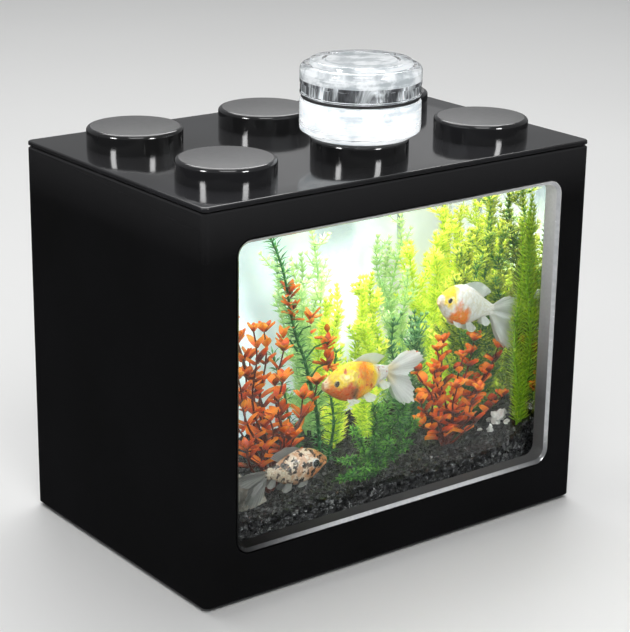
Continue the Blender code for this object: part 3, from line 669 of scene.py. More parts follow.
def spin_matrices(count):
    """Random rotations, one for each grain."""
    q = RANDOM.normal(size=(count, 4))
    q /= np.linalg.norm(q, axis=1)[:, None]
    w, x, y, z = q.T
    rows = [1 - 2 * (y * y + z * z), 2 * (x * y - z * w), 2 * (x * z + y * w), 2 * (x * y + z * w)]
    rows += [1 - 2 * (x * x + z * z), 2 * (y * z - x * w), 2 * (x * z - y * w), 2 * (y * z + x * w)]
    rows.append(1 - 2 * (x * x + y * y))
    return np.stack(rows, axis=1).reshape(count, 3, 3)


def scatter(centres, sizes):
    """(points, faces) of crushed grains: a skewed, turned block at each centre."""
    block = np.array([(x, y, z) for x in (-1, 1) for y in (-1, 1) for z in (-1, 1)], float) * 0.62
    sides = np.array([(0, 1, 3, 2), (4, 6, 7, 5), (0, 4, 5, 1), (2, 3, 7, 6), (0, 2, 6, 4), (1, 5, 7, 3)])
    count = len(centres)
    shapes = block[None] * draw(0.7, 1.25, (count, 1, 3))
    shapes = shapes + draw(-0.3, 0.3, (count, len(block), 3))
    points = np.einsum("nij,nkj->nki", spin_matrices(count), shapes) * sizes[:, None, None]
    points += centres[:, None]
    faces = sides[None] + (np.arange(count) * len(block))[:, None, None]
    return points.reshape(-1, 3), faces.reshape(-1, 4)


def build_gravel():
    """The bed with its crushed grains on top and against the front and side panes."""
    low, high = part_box("gravel_bed")
    pitch = 0.00118
    margin = 0.0006
    xs = np.arange(low[0] + margin, high[0] - 0.0005, pitch)
    ys = np.arange(low[1] + margin, high[1] - 0.0005, pitch)
    grid = np.array([(x, y) for x in xs for y in ys])
    grid += draw(-0.45, 0.45, grid.shape) * pitch
    for axis in (0, 1):
        grid[:, axis] = grid[:, axis].clip(low[axis] + margin, high[axis] - margin)
    heights = np.array([gravel_height(x, y) for x, y in grid])
    heights += draw(-0.0005, 0.0004, len(grid))
    centres = [np.column_stack([grid, heights])]
    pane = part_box("glass_front")[1][1] + 0.00006
    front_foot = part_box("glass_floor")[1][2] - 0.0004
    for x in np.arange(low[0] + 0.0005, high[0] - 0.0004, 0.75 * pitch):
        z = front_foot
        while z < gravel_height(x, low[1]) + 0.0002:
            centres.append(np.array([[x + draw(-0.0004, 0.0004), pane + 0.0005, z]]))
            z += pitch * draw(0.55, 0.8)
    for x in (low[0] + 0.0007, high[0] - 0.0007):
        for y in ys:
            for z in np.arange(low[2] + 0.003, gravel_height(x, y), pitch):
                centres.append(np.array([[x, y + draw(-0.0004, 0.0004), z]]))
    centres = np.concatenate(centres)
    sizes = draw(0.00048, 0.00092, len(centres))
    tones = draw(0.0, 1.0, len(centres)) ** 1.3
    verts, faces = scatter(centres, sizes)
    verts[:, 0] = verts[:, 0].clip(low[0], high[0])
    verts[:, 1] = verts[:, 1].clip(pane, high[1])
    tones = np.repeat(tones, len(verts) // len(centres))

    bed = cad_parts["gravel_bed"].data
    bed_points = [v.co[:] for v in bed.vertices]
    verts, faces = gather([(verts, faces), (bed_points, [p.vertices for p in bed.polygons])])
    tones = np.concatenate([tones, np.zeros(len(bed_points))])
    values = {"tone": tones}
    piece("gravel", verts, faces, gravel_grains(), "tank", "gravel_bed", ["gravel_bed"], 0, attributes=values)


def stone_shape(centre, size, seed, rough, levels=3):
    """A weathered stone: a sphere of faces pushed in and out by noise and flattened below."""
    bm = bmesh.new()
    bmesh.ops.create_icosphere(bm, subdivisions=levels, radius=1.0)
    verts = []
    for v in bm.verts:
        p = Vector(v.co)
        push = 1.0 + rough * noise.noise(p * 1.3 + X * seed) + 0.35 * rough * noise.noise(p * 4.1)
        push += 0.12 * rough * noise.noise(p * 11.0)
        p = p * push
        p.z = max(p.z, -0.62)
        verts.append(tuple(centre[i] + size[i] * p[i] for i in range(3)))
    faces = [tuple(v.index for v in f.verts) for f in bm.faces]
    bm.free()
    return verts, faces


def build_stones():
    x, y, z = middle_of("rock")
    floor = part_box("rock")[0][2]
    main = stone_shape((x + 0.001, y, z - 0.0006), (0.0072, 0.0066, 0.005), 3.0, 0.55, 4)
    shard = stone_shape((x + 0.0075, y - 0.0035, floor + 0.0005), (0.0044, 0.003, 0.0022), 9.0, 0.6)
    grey_stone = rough_stone("grey_stone", (0.1, 0.09, 0.075), (0.34, 0.31, 0.26), (0.52, 0.49, 0.43))
    piece("weathered_rock", *gather([main, shard]), grey_stone, "tank", "rock", ["rock"], 50)

    centre = Vector(middle_of("pale_stone"))
    spots = [(0, 0, 0.0023), (0.0033, 0.0016, 0.0013), (-0.0036, -0.0012, 0.0012), (0.0012, -0.0036, 0.001)]
    spots += [(0.0045, -0.0028, 0.0009), (-0.0012, 0.0038, 0.0011), (-0.0052, 0.0022, 0.0008)]
    parts = []
    for index, (dx, dy, radius) in enumerate(spots):
        x = centre.x + dx
        y = centre.y + dy
        size = radius * draw(0.55, 0.95, 3)
        parts.append(stone_shape((x, y, gravel_height(x, y) + radius * 0.7), size, 20.0 + index, 1.0))
    pale_stone = rough_stone("pale_stone", (0.45, 0.44, 0.42), (0.82, 0.81, 0.79), (0.92, 0.91, 0.9))
    piece("pale_stones", *gather(parts), pale_stone, "tank", "pale_stone", ["pale_stone"], 25)


# ---------------------------------------------------------------- plants


# In the plants' sizes, gap is the way from one ring of leaves to the next, per the leaves in a ring,
# every the way from one side shoot to the next, and reach about the length of a side shoot.
# A leaf's points are (along, across, up): along as a share of its length, the others of half its width.
NEEDLE_POINTS = [(0.0, 0.0, 0.0), (0.45, -1.0, 0.0), (0.45, 1.0, 0.0), (0.45, 0.0, 0.5), (0.45, 0.0, -0.5),
                 (1.0, 0.0, 0.0)]
NEEDLE_FACES = [(0, 3, 1), (0, 2, 3), (0, 4, 2), (0, 1, 4), (5, 1, 3), (5, 3, 2), (5, 2, 4), (5, 4, 1)]


def blade():
    """(points, faces) of an oval leaf with a folded midrib."""
    stations = ((0.12, 0.45), (0.32, 0.92), (0.55, 1.0), (0.78, 0.66), (0.92, 0.3))
    points = [(0.0, 0.0, 0.0)]
    for u, width in stations:
        points += [(u, -width, 0.25), (u, 0.0, -0.1), (u, width, 0.25), (u, 0.0, -0.34)]
    points.append((1.0, 0.0, 0.1))
    faces = [(0, 2, 1), (0, 3, 2), (0, 1, 4), (0, 4, 3)]
    pairs = ((0, 1), (1, 2), (2, 3), (3, 0))
    for a in range(1, 4 * len(stations) - 3, 4):
        faces += [(a + k, a + n, a + 4 + n, a + 4 + k) for k, n in pairs]
    last = 4 * len(stations) - 3
    return points, faces + [(last + k, last + n, last + 4) for k, n in pairs]


BLADE_POINTS, BLADE_FACES = blade()
LEAVES = {"needle": (np.array(NEEDLE_POINTS), NEEDLE_FACES), "blade": (np.array(BLADE_POINTS), BLADE_FACES)}


class Foliage:
    """Collects leaves and stems and makes one mesh of them. A tone past 1.5 takes the second material."""

    def __init__(self, stem_place=0.45):
        self.stem_place = stem_place
        self.leaves = {kind: [] for kind in LEAVES}
        self.stems = []

    def leaf(self, kind, base, direction, length, width, bend, tone):
        self.leaves[kind].append((*base, *direction, length, width, bend, tone))

    def stem(self, points, thick, thin, sides=6):
        """A tapering stem through points."""
        loops = []
        for index, point in enumerate(points):
            ahead = points[min(index + 1, len(points) - 1)] - points[max(index - 1, 0)]
            turn = ahead.to_track_quat("Z", "Y")
            radius = thick + (thin - thick) * index / (len(points) - 1)
            loops.append([tuple(point + turn @ Vector(p)) for p in circle(radius, 0.0, sides=sides)])
        self.stems.append(skin(loops))

    def shaped(self, kind):
        """Points of every leaf of one kind, with how far along its leaf each lies."""
        rows = np.array(self.leaves[kind], float)
        base, ahead = rows[:, 0:3], rows[:, 3:6]
        length, width, bend, tone = rows[:, 6:].T
        ahead = ahead / np.linalg.norm(ahead, axis=1)[:, None]
        side = np.cross(ahead, (0.0, 0.0, 1.0))
        side /= np.linalg.norm(side, axis=1)[:, None] + 1e-9
        u, v, w = LEAVES[kind][0].T
        p = base[:, None] + ahead[:, None] * (u[None, :, None] * length[:, None, None])
        p = p + side[:, None] * (v[None, :, None] * width[:, None, None] / 2)
        rise = w[None] * width[:, None] / 2 + bend[:, None] * length[:, None] * u[None] ** 2
        p = p + np.cross(side, ahead)[:, None] * rise[:, :, None]
        return p.reshape(-1, 3), np.tile(u, len(rows)), tone

    def make(self, node, materials):
        """One piece of all leaves and stems, which stands for a CAD node."""
        parts, along, tones, indices = [], [], [], []
        for kind, (template, polygons) in LEAVES.items():
            if not self.leaves[kind]:
                continue
            points, place, tone = self.shaped(kind)
            starts = len(template) * np.arange(len(tone))
            parts.append((points, [tuple(i + start for i in f) for start in starts for f in polygons]))
            along.append(place)
            tones.append(np.repeat(tone, len(template)))
            indices += [int(t > 1.5) for t in tone for _ in polygons]
        for verts, polygons in self.stems:
            parts.append((verts, polygons))
            along.append(np.full(len(verts), self.stem_place))
            tones.append(np.full(len(verts), 0.4))
            indices += [0] * len(polygons)
        points, faces = gather(parts)
        values = {"along": np.concatenate(along), "tone": np.concatenate(tones) % 1.5}
        points = kept_inside(points, 0.0003, 0.0006)
        piece(node + "_leaves", points, faces, materials, "tank", node, [node], 60, indices, values)


def spine(start, end, sway):
    """A gently swaying line from start to end."""
    phase = draw(0, 2 * pi, 2)
    count = 14
    line = []
    for index in range(count + 1):
        t = index / count
        shift = sway * sin(pi * t)
        shift_x = shift * sin(2.2 * t * pi + phase[0])
        line.append(start.lerp(end, t) + Vector((shift_x, shift * sin(1.7 * t * pi + phase[1]), 0.0)))
    return line


def at(line, t):
    """The point at t, 0 to 1, along a spine."""
    place = t * (len(line) - 1)
    index = min(int(place), len(line) - 2)
    return line[index].lerp(line[index + 1], place - index)


def heading(line, t, reach):
    """The direction of a spine round t."""
    return (at(line, min(1.0, t + reach)) - at(line, max(0.0, t - reach))).normalized()


def length_of(line):
    return sum((b - a).length for a, b in zip(line, line[1:]))


def from_mm(point):
    return Vector([c / 1000 for c in point])


def around(angle, rise=0.0):
    return Vector((cos(angle), sin(angle), rise))


def whorls(foliage, line, gap, per, length, width, lift, bend, taper=0.5, tone=None, start=0.04):
    """Rings of needles up a stem."""
    rings = max(2, int(length_of(line) * (1 - start) / gap))
    for ring in range(rings):
        t = start + (1 - start) * ring / (rings - 1)
        centre = at(line, t)
        ahead = heading(line, t, 0.03)
        shrink = 1.0 - taper * max(0.0, (t - 0.55) / 0.45) ** 1.5
        phase = draw(0, 2 * pi)
        for k in range(per):
            flat = around(phase + turned_angle(k, per) + draw(-0.2, 0.2))
            direction = flat + ahead * (lift + 0.9 * max(0.0, t - 0.8) / 0.2 + draw(-0.15, 0.15))
            size = length * shrink * draw(0.8, 1.12)
            shade = tone(t) + draw(-0.15, 0.15) if tone else draw(0.1, 0.9)
            foliage.leaf("needle", centre, direction, size, width, bend * draw(0.6, 1.4), shade)


def foot_and_head(node):
    """Foot, on the gravel, and head of the space that a plant's CAD solid takes up."""
    low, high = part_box(node)
    points = [v.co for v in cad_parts[node].data.vertices]
    lowest = [p for p in points if p.z < low[2] + 0.0005]
    highest = [p for p in points if p.z > high[2] - 0.0005]
    foot = sum(lowest, Vector()) / len(lowest)
    foot.z = gravel_height(foot.x, foot.y) - 0.0008
    return foot, sum(highest, Vector()) / len(highest)


def feather_plant(node, paint, tails, spread, gap, per, length, low):
    """Foxtail stems, ringed with fine needles, that fill the space of one CAD solid."""
    foot, head = foot_and_head(node)
    foliage = Foliage()
    for index in range(tails):
        angle = turned_angle(index, tails) + draw(-0.5, 0.5)
        out = around(angle) * (spread * (0.3 if index == 0 else draw(0.65, 1.0)))
        end = head + out
        end.z = foot.z + (head.z - foot.z) * (1.0 if index == 0 else draw(low, 0.98))
        line = spine(foot + out * 0.35, end, 0.0016)
        foliage.stem(line, 0.00042, 0.0002)
        whorls(foliage, line, gap, per, length * draw(0.85, 1.1), 0.00036, 0.45, 0.1, start=0.03)
    foliage.make(node, paint)


def bushy_plant(node, paint, mains, spread, gap, per, length, every, reach, low=0.55):
    """Upright stems with leaning side shoots, every stem and shoot a foxtail of needles."""
    width = 0.0006
    foot, head = foot_and_head(node)
    foliage = Foliage()
    for index in range(mains):
        angle = turned_angle(index, mains) + draw(-0.5, 0.5)
        out = around(angle) * spread * (0.25 if index == 0 else draw(0.6, 1.0))
        end = head + out
        end.z = foot.z + (head.z - foot.z) * (1.0 if index == 0 else draw(low, 0.98))
        line = spine(foot + out * 0.4, end, 0.0022)
        shade = draw(0.0, 0.5)
        foliage.stem(line, 0.00042, 0.00018)
        whorls(foliage, line, gap, per, length, width, 0.45, 0.1, tone=lambda t: shade + 0.4 * t, start=0.05)
        count = int(length_of(line) / every)
        for k in range(count):
            t = (k + draw(0.5, 1.1)) / (count + 0.3)
            root = at(line, t)
            ahead = around(2.4 * k + draw(-0.6, 0.6), draw(0.55, 1.3)).normalized()
            tip = root + ahead * (reach * (1.15 - 0.55 * t) * draw(0.7, 1.15))
            tip.z = min(tip.z, head.z)
            middle = root.lerp(tip, 0.5) - Z * 0.0006
            shoot = [root, root.lerp(middle, 0.5), middle, middle.lerp(tip, 0.5), tip]
            tint = shade + draw(-0.1, 0.35) + 0.2 * t
            foliage.stem(shoot, 0.0003, 0.00014, 4)
            whorls(foliage, shoot, gap * 0.78, per, length * 0.88, width, 0.55, 0.08,
                   tone=lambda s: tint + 0.35 * s, start=0.1)
    foliage.make(node, paint)


def red_plant(node, paint, ends, length, shape, gap, start):
    """Branching stems with pairs of oval leaves that stand up and out. The stems' ends are in millimetres."""
    foot, _ = foot_and_head(node)
    foliage = Foliage(0.08)
    for end in map(from_mm, ends):
        line = spine(foot + (end - foot) * 0.03, end, 0.0018)
        foliage.stem(line, 0.00045, 0.00022)
        count = max(3, int(length_of(line) * (1 - start) / gap))
        for step in range(count + 1):
            t = start + (1 - start) * step / count
            centre = at(line, t)
            turn = step * 1.6 + draw(-0.5, 0.5)
            per = 2 if t < 0.95 else 5
            for k in range(per):
                direction = around(turn + turned_angle(k, per), draw(0.1, 0.9) + 0.6 * t)
                size = length * (0.8 + 0.3 * sin(pi * t)) * draw(0.75, 1.15)
                wide = size * shape * draw(0.85, 1.15)
                foliage.leaf("blade", centre, direction, size, wide, draw(-0.3, 0.05), draw(0, 1))
    foliage.make(node, paint)


def tuft_plant(node, paint, ends, gap, per, length, width, start=0.1):
    """Loose foxtails from one root to ends in millimetres, their needles at random turns and heights."""
    foot, _ = foot_and_head(node)
    foliage = Foliage()
    for end in map(from_mm, ends):
        middle = foot.lerp(end, 0.5) + Z * (0.2 * (end - foot).length)
        sway = Vector((draw(-0.002, 0.002), draw(-0.001, 0.001), 0.0))
        line = []
        for t in [step / 12 for step in range(13)]:
            point = (1 - t) ** 2 * foot + 2 * t * (1 - t) * middle + t * t * end
            line.append(point + sway * sin(2 * pi * t))
        foliage.stem(line, 0.0004, 0.0002)
        longest = length * draw(0.85, 1.1)
        shade = draw(0.0, 0.5)
        for _ in range(int(length_of(line) * (1 - start) / gap * per)):
            t = start + (1 - start) * draw() ** 0.85
            flat = around(draw(0, 2 * pi), draw(-0.5, 0.7))
            direction = flat + heading(line, t, 0.04) * draw(0.0, 0.9)
            size = longest * draw(0.55, 1.1)
            tone = min(1.0, max(0.0, shade + 0.3 * t + draw(-0.2, 0.35)))
            foliage.leaf("needle", at(line, t), direction, size, width, draw(-0.45, 0.25), tone)
    foliage.make(node, paint)


def left_stem_plant(paints):
    """The tall whorled stem at the left, with orange sprigs along it and two young stems at its foot."""
    node = "stem_plant_left"
    foot, head = foot_and_head(node)
    foliage = Foliage()
    middle = Vector((-0.0115, foot.y, 0.048))
    line = [foot.lerp(middle, k / 7) for k in range(7)] + [middle.lerp(head, k / 9) for k in range(10)]
    line = [p + X * (0.0012 * sin(9 * k / 16)) for k, p in enumerate(line)]
    foliage.stem(line, 0.0006, 0.0003)
    whorls(foliage, line, 0.0019, 8, 0.0037, 0.00062, 0.75, -0.5, taper=0.15)
    for start, end in (((-0.004, 0.002, 0), (-0.015, 0.0, 0.034)), ((0.003, 0.001, 0), (0.006, 0.002, 0.03))):
        young = spine(foot + Vector(start), foot + Vector(end), 0.001)
        foliage.stem(young, 0.0005, 0.0003)
        whorls(foliage, young, 0.0021, 7, 0.0037, 0.00058, 0.6, -0.4, taper=0.2)
    sprigs = [(0.72, 0.0, 12, 0.0036), (0.62, 0.0, 9, 0.0034), (0.56, 0.0045, 10, 0.0036)]
    sprigs += [(0.46, 0.0075, 10, 0.0038), (0.38, 0.006, 9, 0.0042), (0.52, -0.005, 8, 0.0034)]
    sprigs += [(0.3, 0.008, 9, 0.004)]
    for t, aside, count, size in sprigs:
        root = at(line, t)
        centre = root + Vector((aside, -0.001, 0.2 * abs(aside)))
        if aside:
            foliage.stem([root - Z * 0.003, root.lerp(centre, 0.5), centre], 0.0003, 0.0002)
        for k in range(count):
            direction = around(turned_angle(k, count) + t * 9, draw(0.0, 1.6))
            base = centre + Z * draw(-0.0028, 0.0028)
            long = size * draw(0.8, 1.15)
            foliage.leaf("blade", base, direction, long, 0.46 * long, 0.0, 1.5 + draw(0.1, 0.9))
    foliage.make(node, paints)


def build_plants():
    # Each leaf's last number is the strength of its painted light glow.
    fresh = leaf("leaf_fresh", (0.008, 0.07, 0.02), (0.03, 0.2, 0.05), (0.13, 0.4, 0.12), 0.05)
    pale = leaf("leaf_pale", (0.2, 0.42, 0.16), (0.42, 0.66, 0.26), (0.72, 0.88, 0.42), 0.2)
    lime = leaf("leaf_lime", (0.006, 0.06, 0.018), (0.06, 0.23, 0.04), (0.74, 0.82, 0.08), 0.12)
    yellow = leaf("leaf_yellow", (0.08, 0.24, 0.012), (0.58, 0.74, 0.05), (0.98, 0.97, 0.17), 0.34)
    olive = leaf("leaf_olive", (0.04, 0.13, 0.006), (0.2, 0.38, 0.014), (0.52, 0.66, 0.04), 0.14)
    dark = leaf("leaf_dark", (0.002, 0.028, 0.006), (0.018, 0.15, 0.018), (0.24, 0.62, 0.08), 0.05)
    blue = leaf("leaf_blue_green", (0.012, 0.075, 0.034), (0.06, 0.24, 0.1), (0.3, 0.58, 0.26), 0.1)
    red = leaf("leaf_red", (0.07, 0.008, 0.003), (0.66, 0.07, 0.007), (1.0, 0.3, 0.025), 0.14)
    left_stem_plant([fresh, red])
    ends = [(-37.5, -10, 62.5), (-33.5, -16, 61), (-28, -11, 59), (-24, -15, 54)]
    ends += [(-38.5, -17, 50), (-31, -8, 52), (-21.5, -10, 45), (-18, -15, 40)]
    ends += [(-39, -12, 39), (-15, -10, 34), (-36.5, -18, 31), (-22, -18, 31)]
    ends += [(-12, -12, 42), (-35, -9, 57), (-26, -19, 47), (-30, -19, 38)]
    red_plant("red_plant_left", red, ends, 0.005, 0.54, 0.0044, 0.38)
    ends = [(18, -14, 42.5), (23.5, -18, 39.5), (29, -12, 45), (34, -17, 41)]
    ends += [(40, -13, 44), (47, -16, 41), (20, -17, 31), (45, -12, 33.5)]
    ends += [(30, -21, 34), (38.5, -20, 31), (21.5, -13, 25), (48, -18, 27)]
    ends += [(26, -15, 44), (50, -14, 40)]
    red_plant("red_plant_right", red, ends, 0.0043, 0.76, 0.0036, 0.34)
    bushy_plant("pale_bush", pale, 7, 0.0085, 0.0015, 9, 0.0036, 0.005, 0.0085)
    bushy_plant("lime_column_left", yellow, 4, 0.003, 0.0012, 10, 0.0036, 0.0045, 0.0045, low=0.85)
    bushy_plant("lime_column_right", yellow, 5, 0.004, 0.0012, 10, 0.0036, 0.0045, 0.005, low=0.88)
    bushy_plant("back_stems", pale, 4, 0.0075, 0.0015, 9, 0.0038, 0.0055, 0.008)
    bushy_plant("dark_stem_plant", blue, 6, 0.006, 0.0017, 8, 0.0036, 0.0055, 0.0065)
    bushy_plant("back_bush_right", yellow, 8, 0.01, 0.0014, 9, 0.0042, 0.005, 0.0095)
    bushy_plant("lime_bush_right", yellow, 12, 0.011, 0.0014, 9, 0.0042, 0.0048, 0.0085, low=0.75)
    bushy_plant("tall_bush_right", lime, 9, 0.0095, 0.0014, 9, 0.0042, 0.0048, 0.0095, low=0.6)
    feather_plant("stem_plant_right", olive, 4, 0.0024, 0.0012, 12, 0.0034, low=0.9)
    bushy_plant("back_bush_left", pale, 5, 0.0066, 0.002, 8, 0.0038, 0.007, 0.007)
    ends = [(-12.5, -27.5, 19.5), (-9.5, -23.5, 23), (-4.5, -28.5, 21), (-5, -21.5, 30)]
    ends += [(1, -23.5, 35.5), (6, -21.5, 35), (11, -23, 33.5), (15, -21.5, 28)]
    ends += [(11, -26.5, 24), (4, -27.5, 26), (-1, -28.5, 26), (8, -19, 30)]
    tuft_plant("dark_low_plant", dark, ends, 0.001, 15, 0.003, 0.00055)


# ---------------------------------------------------------------- fish


# A fish's height over its spine and under it, and its width, at places from nose to tail. They are shares of
# its half height and half width.
BODY_UP = ((0.0, 0.16), (0.04, 0.36), (0.12, 0.66), (0.25, 0.92), (0.42, 1.04), (0.6, 0.9),
           (0.8, 0.54), (1.0, 0.28))
BODY_DOWN = ((0.0, 0.14), (0.04, 0.32), (0.12, 0.6), (0.28, 0.98), (0.45, 1.1), (0.65, 0.92),
             (0.85, 0.46), (1.0, 0.24))
BODY_WIDE = ((0.0, 0.22), (0.05, 0.48), (0.15, 0.78), (0.32, 1.0), (0.5, 0.97), (0.7, 0.62),
             (0.88, 0.26), (1.0, 0.12))


def smooth_value(table, t):
    """A smooth curve through a table of (place, value)."""
    xs, ys = zip(*table)
    near = [np.interp(min(1.0, max(0.0, t + d)), xs, ys) for d in (-0.05, -0.025, 0.0, 0.025, 0.05)]
    return float(np.mean(near))


def fin_sheet(rows, thickness, across):
    """A closed thin fin from rows of points. Returns points, faces, along and ray."""
    count = len(rows[0])
    last = len(rows) - 1
    verts, along, ray = [], [], []
    for side in (-1, 1):
        for i, row in enumerate(rows):
            thin = thickness * (1.0 - 0.75 * i / last) / 2
            verts += [tuple(point + across * (side * thin)) for point in row]
            along += [i / last] * count
            ray += [j / (count - 1) for j in range(count)]
    half = len(rows) * count
    faces = []
    for a in [i * count + j for i in range(last) for j in range(count - 1)]:
        b = half + a
        faces += [(a, a + 1, a + count + 1, a + count), (b, b + count, b + count + 1, b + 1)]
    rim = grid_rim(count, len(rows))
    faces += [(a, half + a, half + b, b) for a, b in zip(rim, rim[1:] + rim[:1])]
    return verts, faces, along, ray


def build_fish(node, skin_paint, fin_paint, eyes, flip, bend, plump, body, tail_fan, eye=(0.15, 0.028, 0.86)):
    """One fish along the long axis of its CAD solid: body, eyes, dorsal, belly, side and twin tail fins.

    bend, plump (half its height) and body are shares of its length. tail_fan is the upper and the lower angle
    and the share of the length. eye is its place along the body, its radius as a share of the length, and how
    far out it stands.
    """
    low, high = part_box(node)
    points = [v.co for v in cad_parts[node].data.vertices]
    ends = []
    for x in (low[0], high[0]):
        near = [p for p in points if abs(p.x - x) < 0.0012]
        ends.append(sum(near, Vector()) / len(near))
    nose, tail = ends[::-1] if flip else ends
    length = (tail - nose).length
    forward = (nose - tail).normalized()
    side = forward.cross(Z).normalized()
    up = side.cross(forward)
    half_height = plump * length
    half_width = 0.66 * half_height
    body_length = body * length
    parts, indices = [], []
    fields = {"along": [], "high": [], "skin": [], "ray": []}

    def spine_at(t):
        return nose - forward * (body_length * t) + side * (bend * length * (t - 0.3) ** 2)

    def add(verts, faces, material, along=0.0, high=0.0, place=(0.0, 0.0, 0.0), ray=0.0):
        """Keeps a part with its points' values and its material, each one for all or a list."""
        parts.append(outward(verts, faces))
        for values, value in zip(fields.values(), (along, high, place, ray)):
            values.extend(value if isinstance(value, list) else [value] * len(verts))
        indices.extend(material if isinstance(material, list) else [material] * len(faces))

    def fin(place, count, wave, thickness=0.0002, steps=9):
        """A rippled fin. place gives the root and the tip of each of its rays."""
        rays = [place(j, j / (count - 1)) for j in range(count)]
        rows = []
        for t in [i / steps for i in range(steps + 1)]:
            ripples = [side * (wave * t * sin(3.1 * j / count * 2 * pi + 2.0 * t)) for j in range(count)]
            rows.append([root.lerp(tip, t) + ripple for (root, tip), ripple in zip(rays, ripples)])
        verts, faces, along, ray = fin_sheet(rows, thickness, side)
        add(verts, faces, 1, along=along, ray=ray)

    rings = 34
    sides = 28
    loops, along, tall_at, scale_place = [], [], [], []
    for t in [(i / rings) ** 1.15 for i in range(rings + 1)]:
        rise, drop, wide = [smooth_value(table, t) for table in (BODY_UP, BODY_DOWN, BODY_WIDE)]
        loops.append([])
        for k in range(sides):
            angle = turned_angle(k, sides)
            tall = rise if sin(angle) > 0 else drop
            across = abs(cos(angle)) ** 0.9 * copysign(1, cos(angle))
            shift = side * (half_width * wide * across) + up * (half_height * tall * sin(angle))
            loops[-1].append(tuple(spine_at(t) + shift))
            along.append(t)
            tall_at.append(sin(angle))
            scale_place.append((t * 24, float(min(k, sides - k)), 0.0))
    add(*skin(loops), 0, along, tall_at, scale_place)

    eye_place, eye_radius, eye_out = eye
    radius = eye_radius * length
    profile = [(1.0, -0.5), (1.0, 0.05), (0.93, 0.3), (0.8, 0.42), (0.74, 0.48), (0.4, 0.64), (0.12, 0.7)]
    angles = [turned_angle(k, 16) for k in range(16)]
    kinds = [3 if row >= 3 else 2 for row in range(len(profile) - 1) for _ in angles] + [2, 3]
    for sign in (-1, 1):
        out = side * sign
        wide = half_width * smooth_value(BODY_WIDE, eye_place)
        centre = spine_at(eye_place) + out * (wide * eye_out) + up * (0.12 * half_height)
        loops = []
        for r, lift in [(share * radius, lift * radius) for share, lift in profile]:
            flats = [forward * (r * cos(angle)) + up * (r * sin(angle)) for angle in angles]
            loops.append([tuple(centre + out * lift + flat) for flat in flats])
        add(*skin(loops), kinds, along=0.2)

    def dorsal(_, s):
        t = 0.36 + 0.42 * s
        root = spine_at(t) + up * (half_height * smooth_value(BODY_UP, t) * 0.93)
        tall = half_height * (0.34 * sin(pi * min(1.0, 0.25 + 0.72 * (1 - s))) + 0.1)
        return root, root + up * tall - forward * (0.08 * length * (0.6 + 0.6 * s))

    fin(dorsal, 15, 0.0003)
    pairs = ((0.3, 0.08, 0.42, 0.09), (0.56, 0.07, 0.6, 0.09), (0.82, 0.06, 0.55, 0.08))
    for sign in (-1, 1):
        for start, spread, drop, reach in pairs:
            def lower(_, s):
                t = start + spread * s
                wide = half_width * smooth_value(BODY_WIDE, t)
                deep = half_height * smooth_value(BODY_DOWN, t)
                root = spine_at(t) + side * (sign * wide * 0.45) - up * (deep * 0.8)
                back = reach * length * (0.4 + 0.9 * s)
                fan = -forward * back - up * (half_height * drop * (1.0 - 0.35 * s))
                return root, root + fan * (1.0 - 0.35 * (2 * s - 1) ** 2) + side * (sign * 0.03 * length)

            fin(lower, 8, 0.0002)

    top, bottom, reach_share = tail_fan
    for sign in (-1, 1):
        def tail_half(j, s):
            angle = radians(top + (bottom - top) * s)
            fork = 1.0 - 0.45 * exp(-((s - 0.45) / 0.16) ** 2)
            edge = 0.5 + 0.5 * min(1.0, 5.0 * s, 5.0 * (1 - s)) ** 0.5
            ragged = 1.0 + 0.05 * sin(2.3 * j) + 0.03 * sin(5.1 * j)
            reach = reach_share * length * fork * edge * ragged
            root = spine_at(0.965) + up * (half_height * 0.22 * (1 - 2 * s)) + side * (sign * 0.0003)
            fan = -forward * (reach * cos(angle)) + Z * (reach * sin(angle))
            return root, root + fan + side * (sign * 0.035 * length)

        fin(tail_half, 41, 0.0006, 0.00018, 12)

    verts, faces = gather(parts)
    fields = {key: np.array(values, float) for key, values in fields.items()}
    verts = kept_inside(verts, 0.0003, 0.0003)
    materials = [skin_paint, fin_paint, *eyes]
    piece(node + "_body", verts, faces, materials, "tank", node, [node], 50, indices, fields)


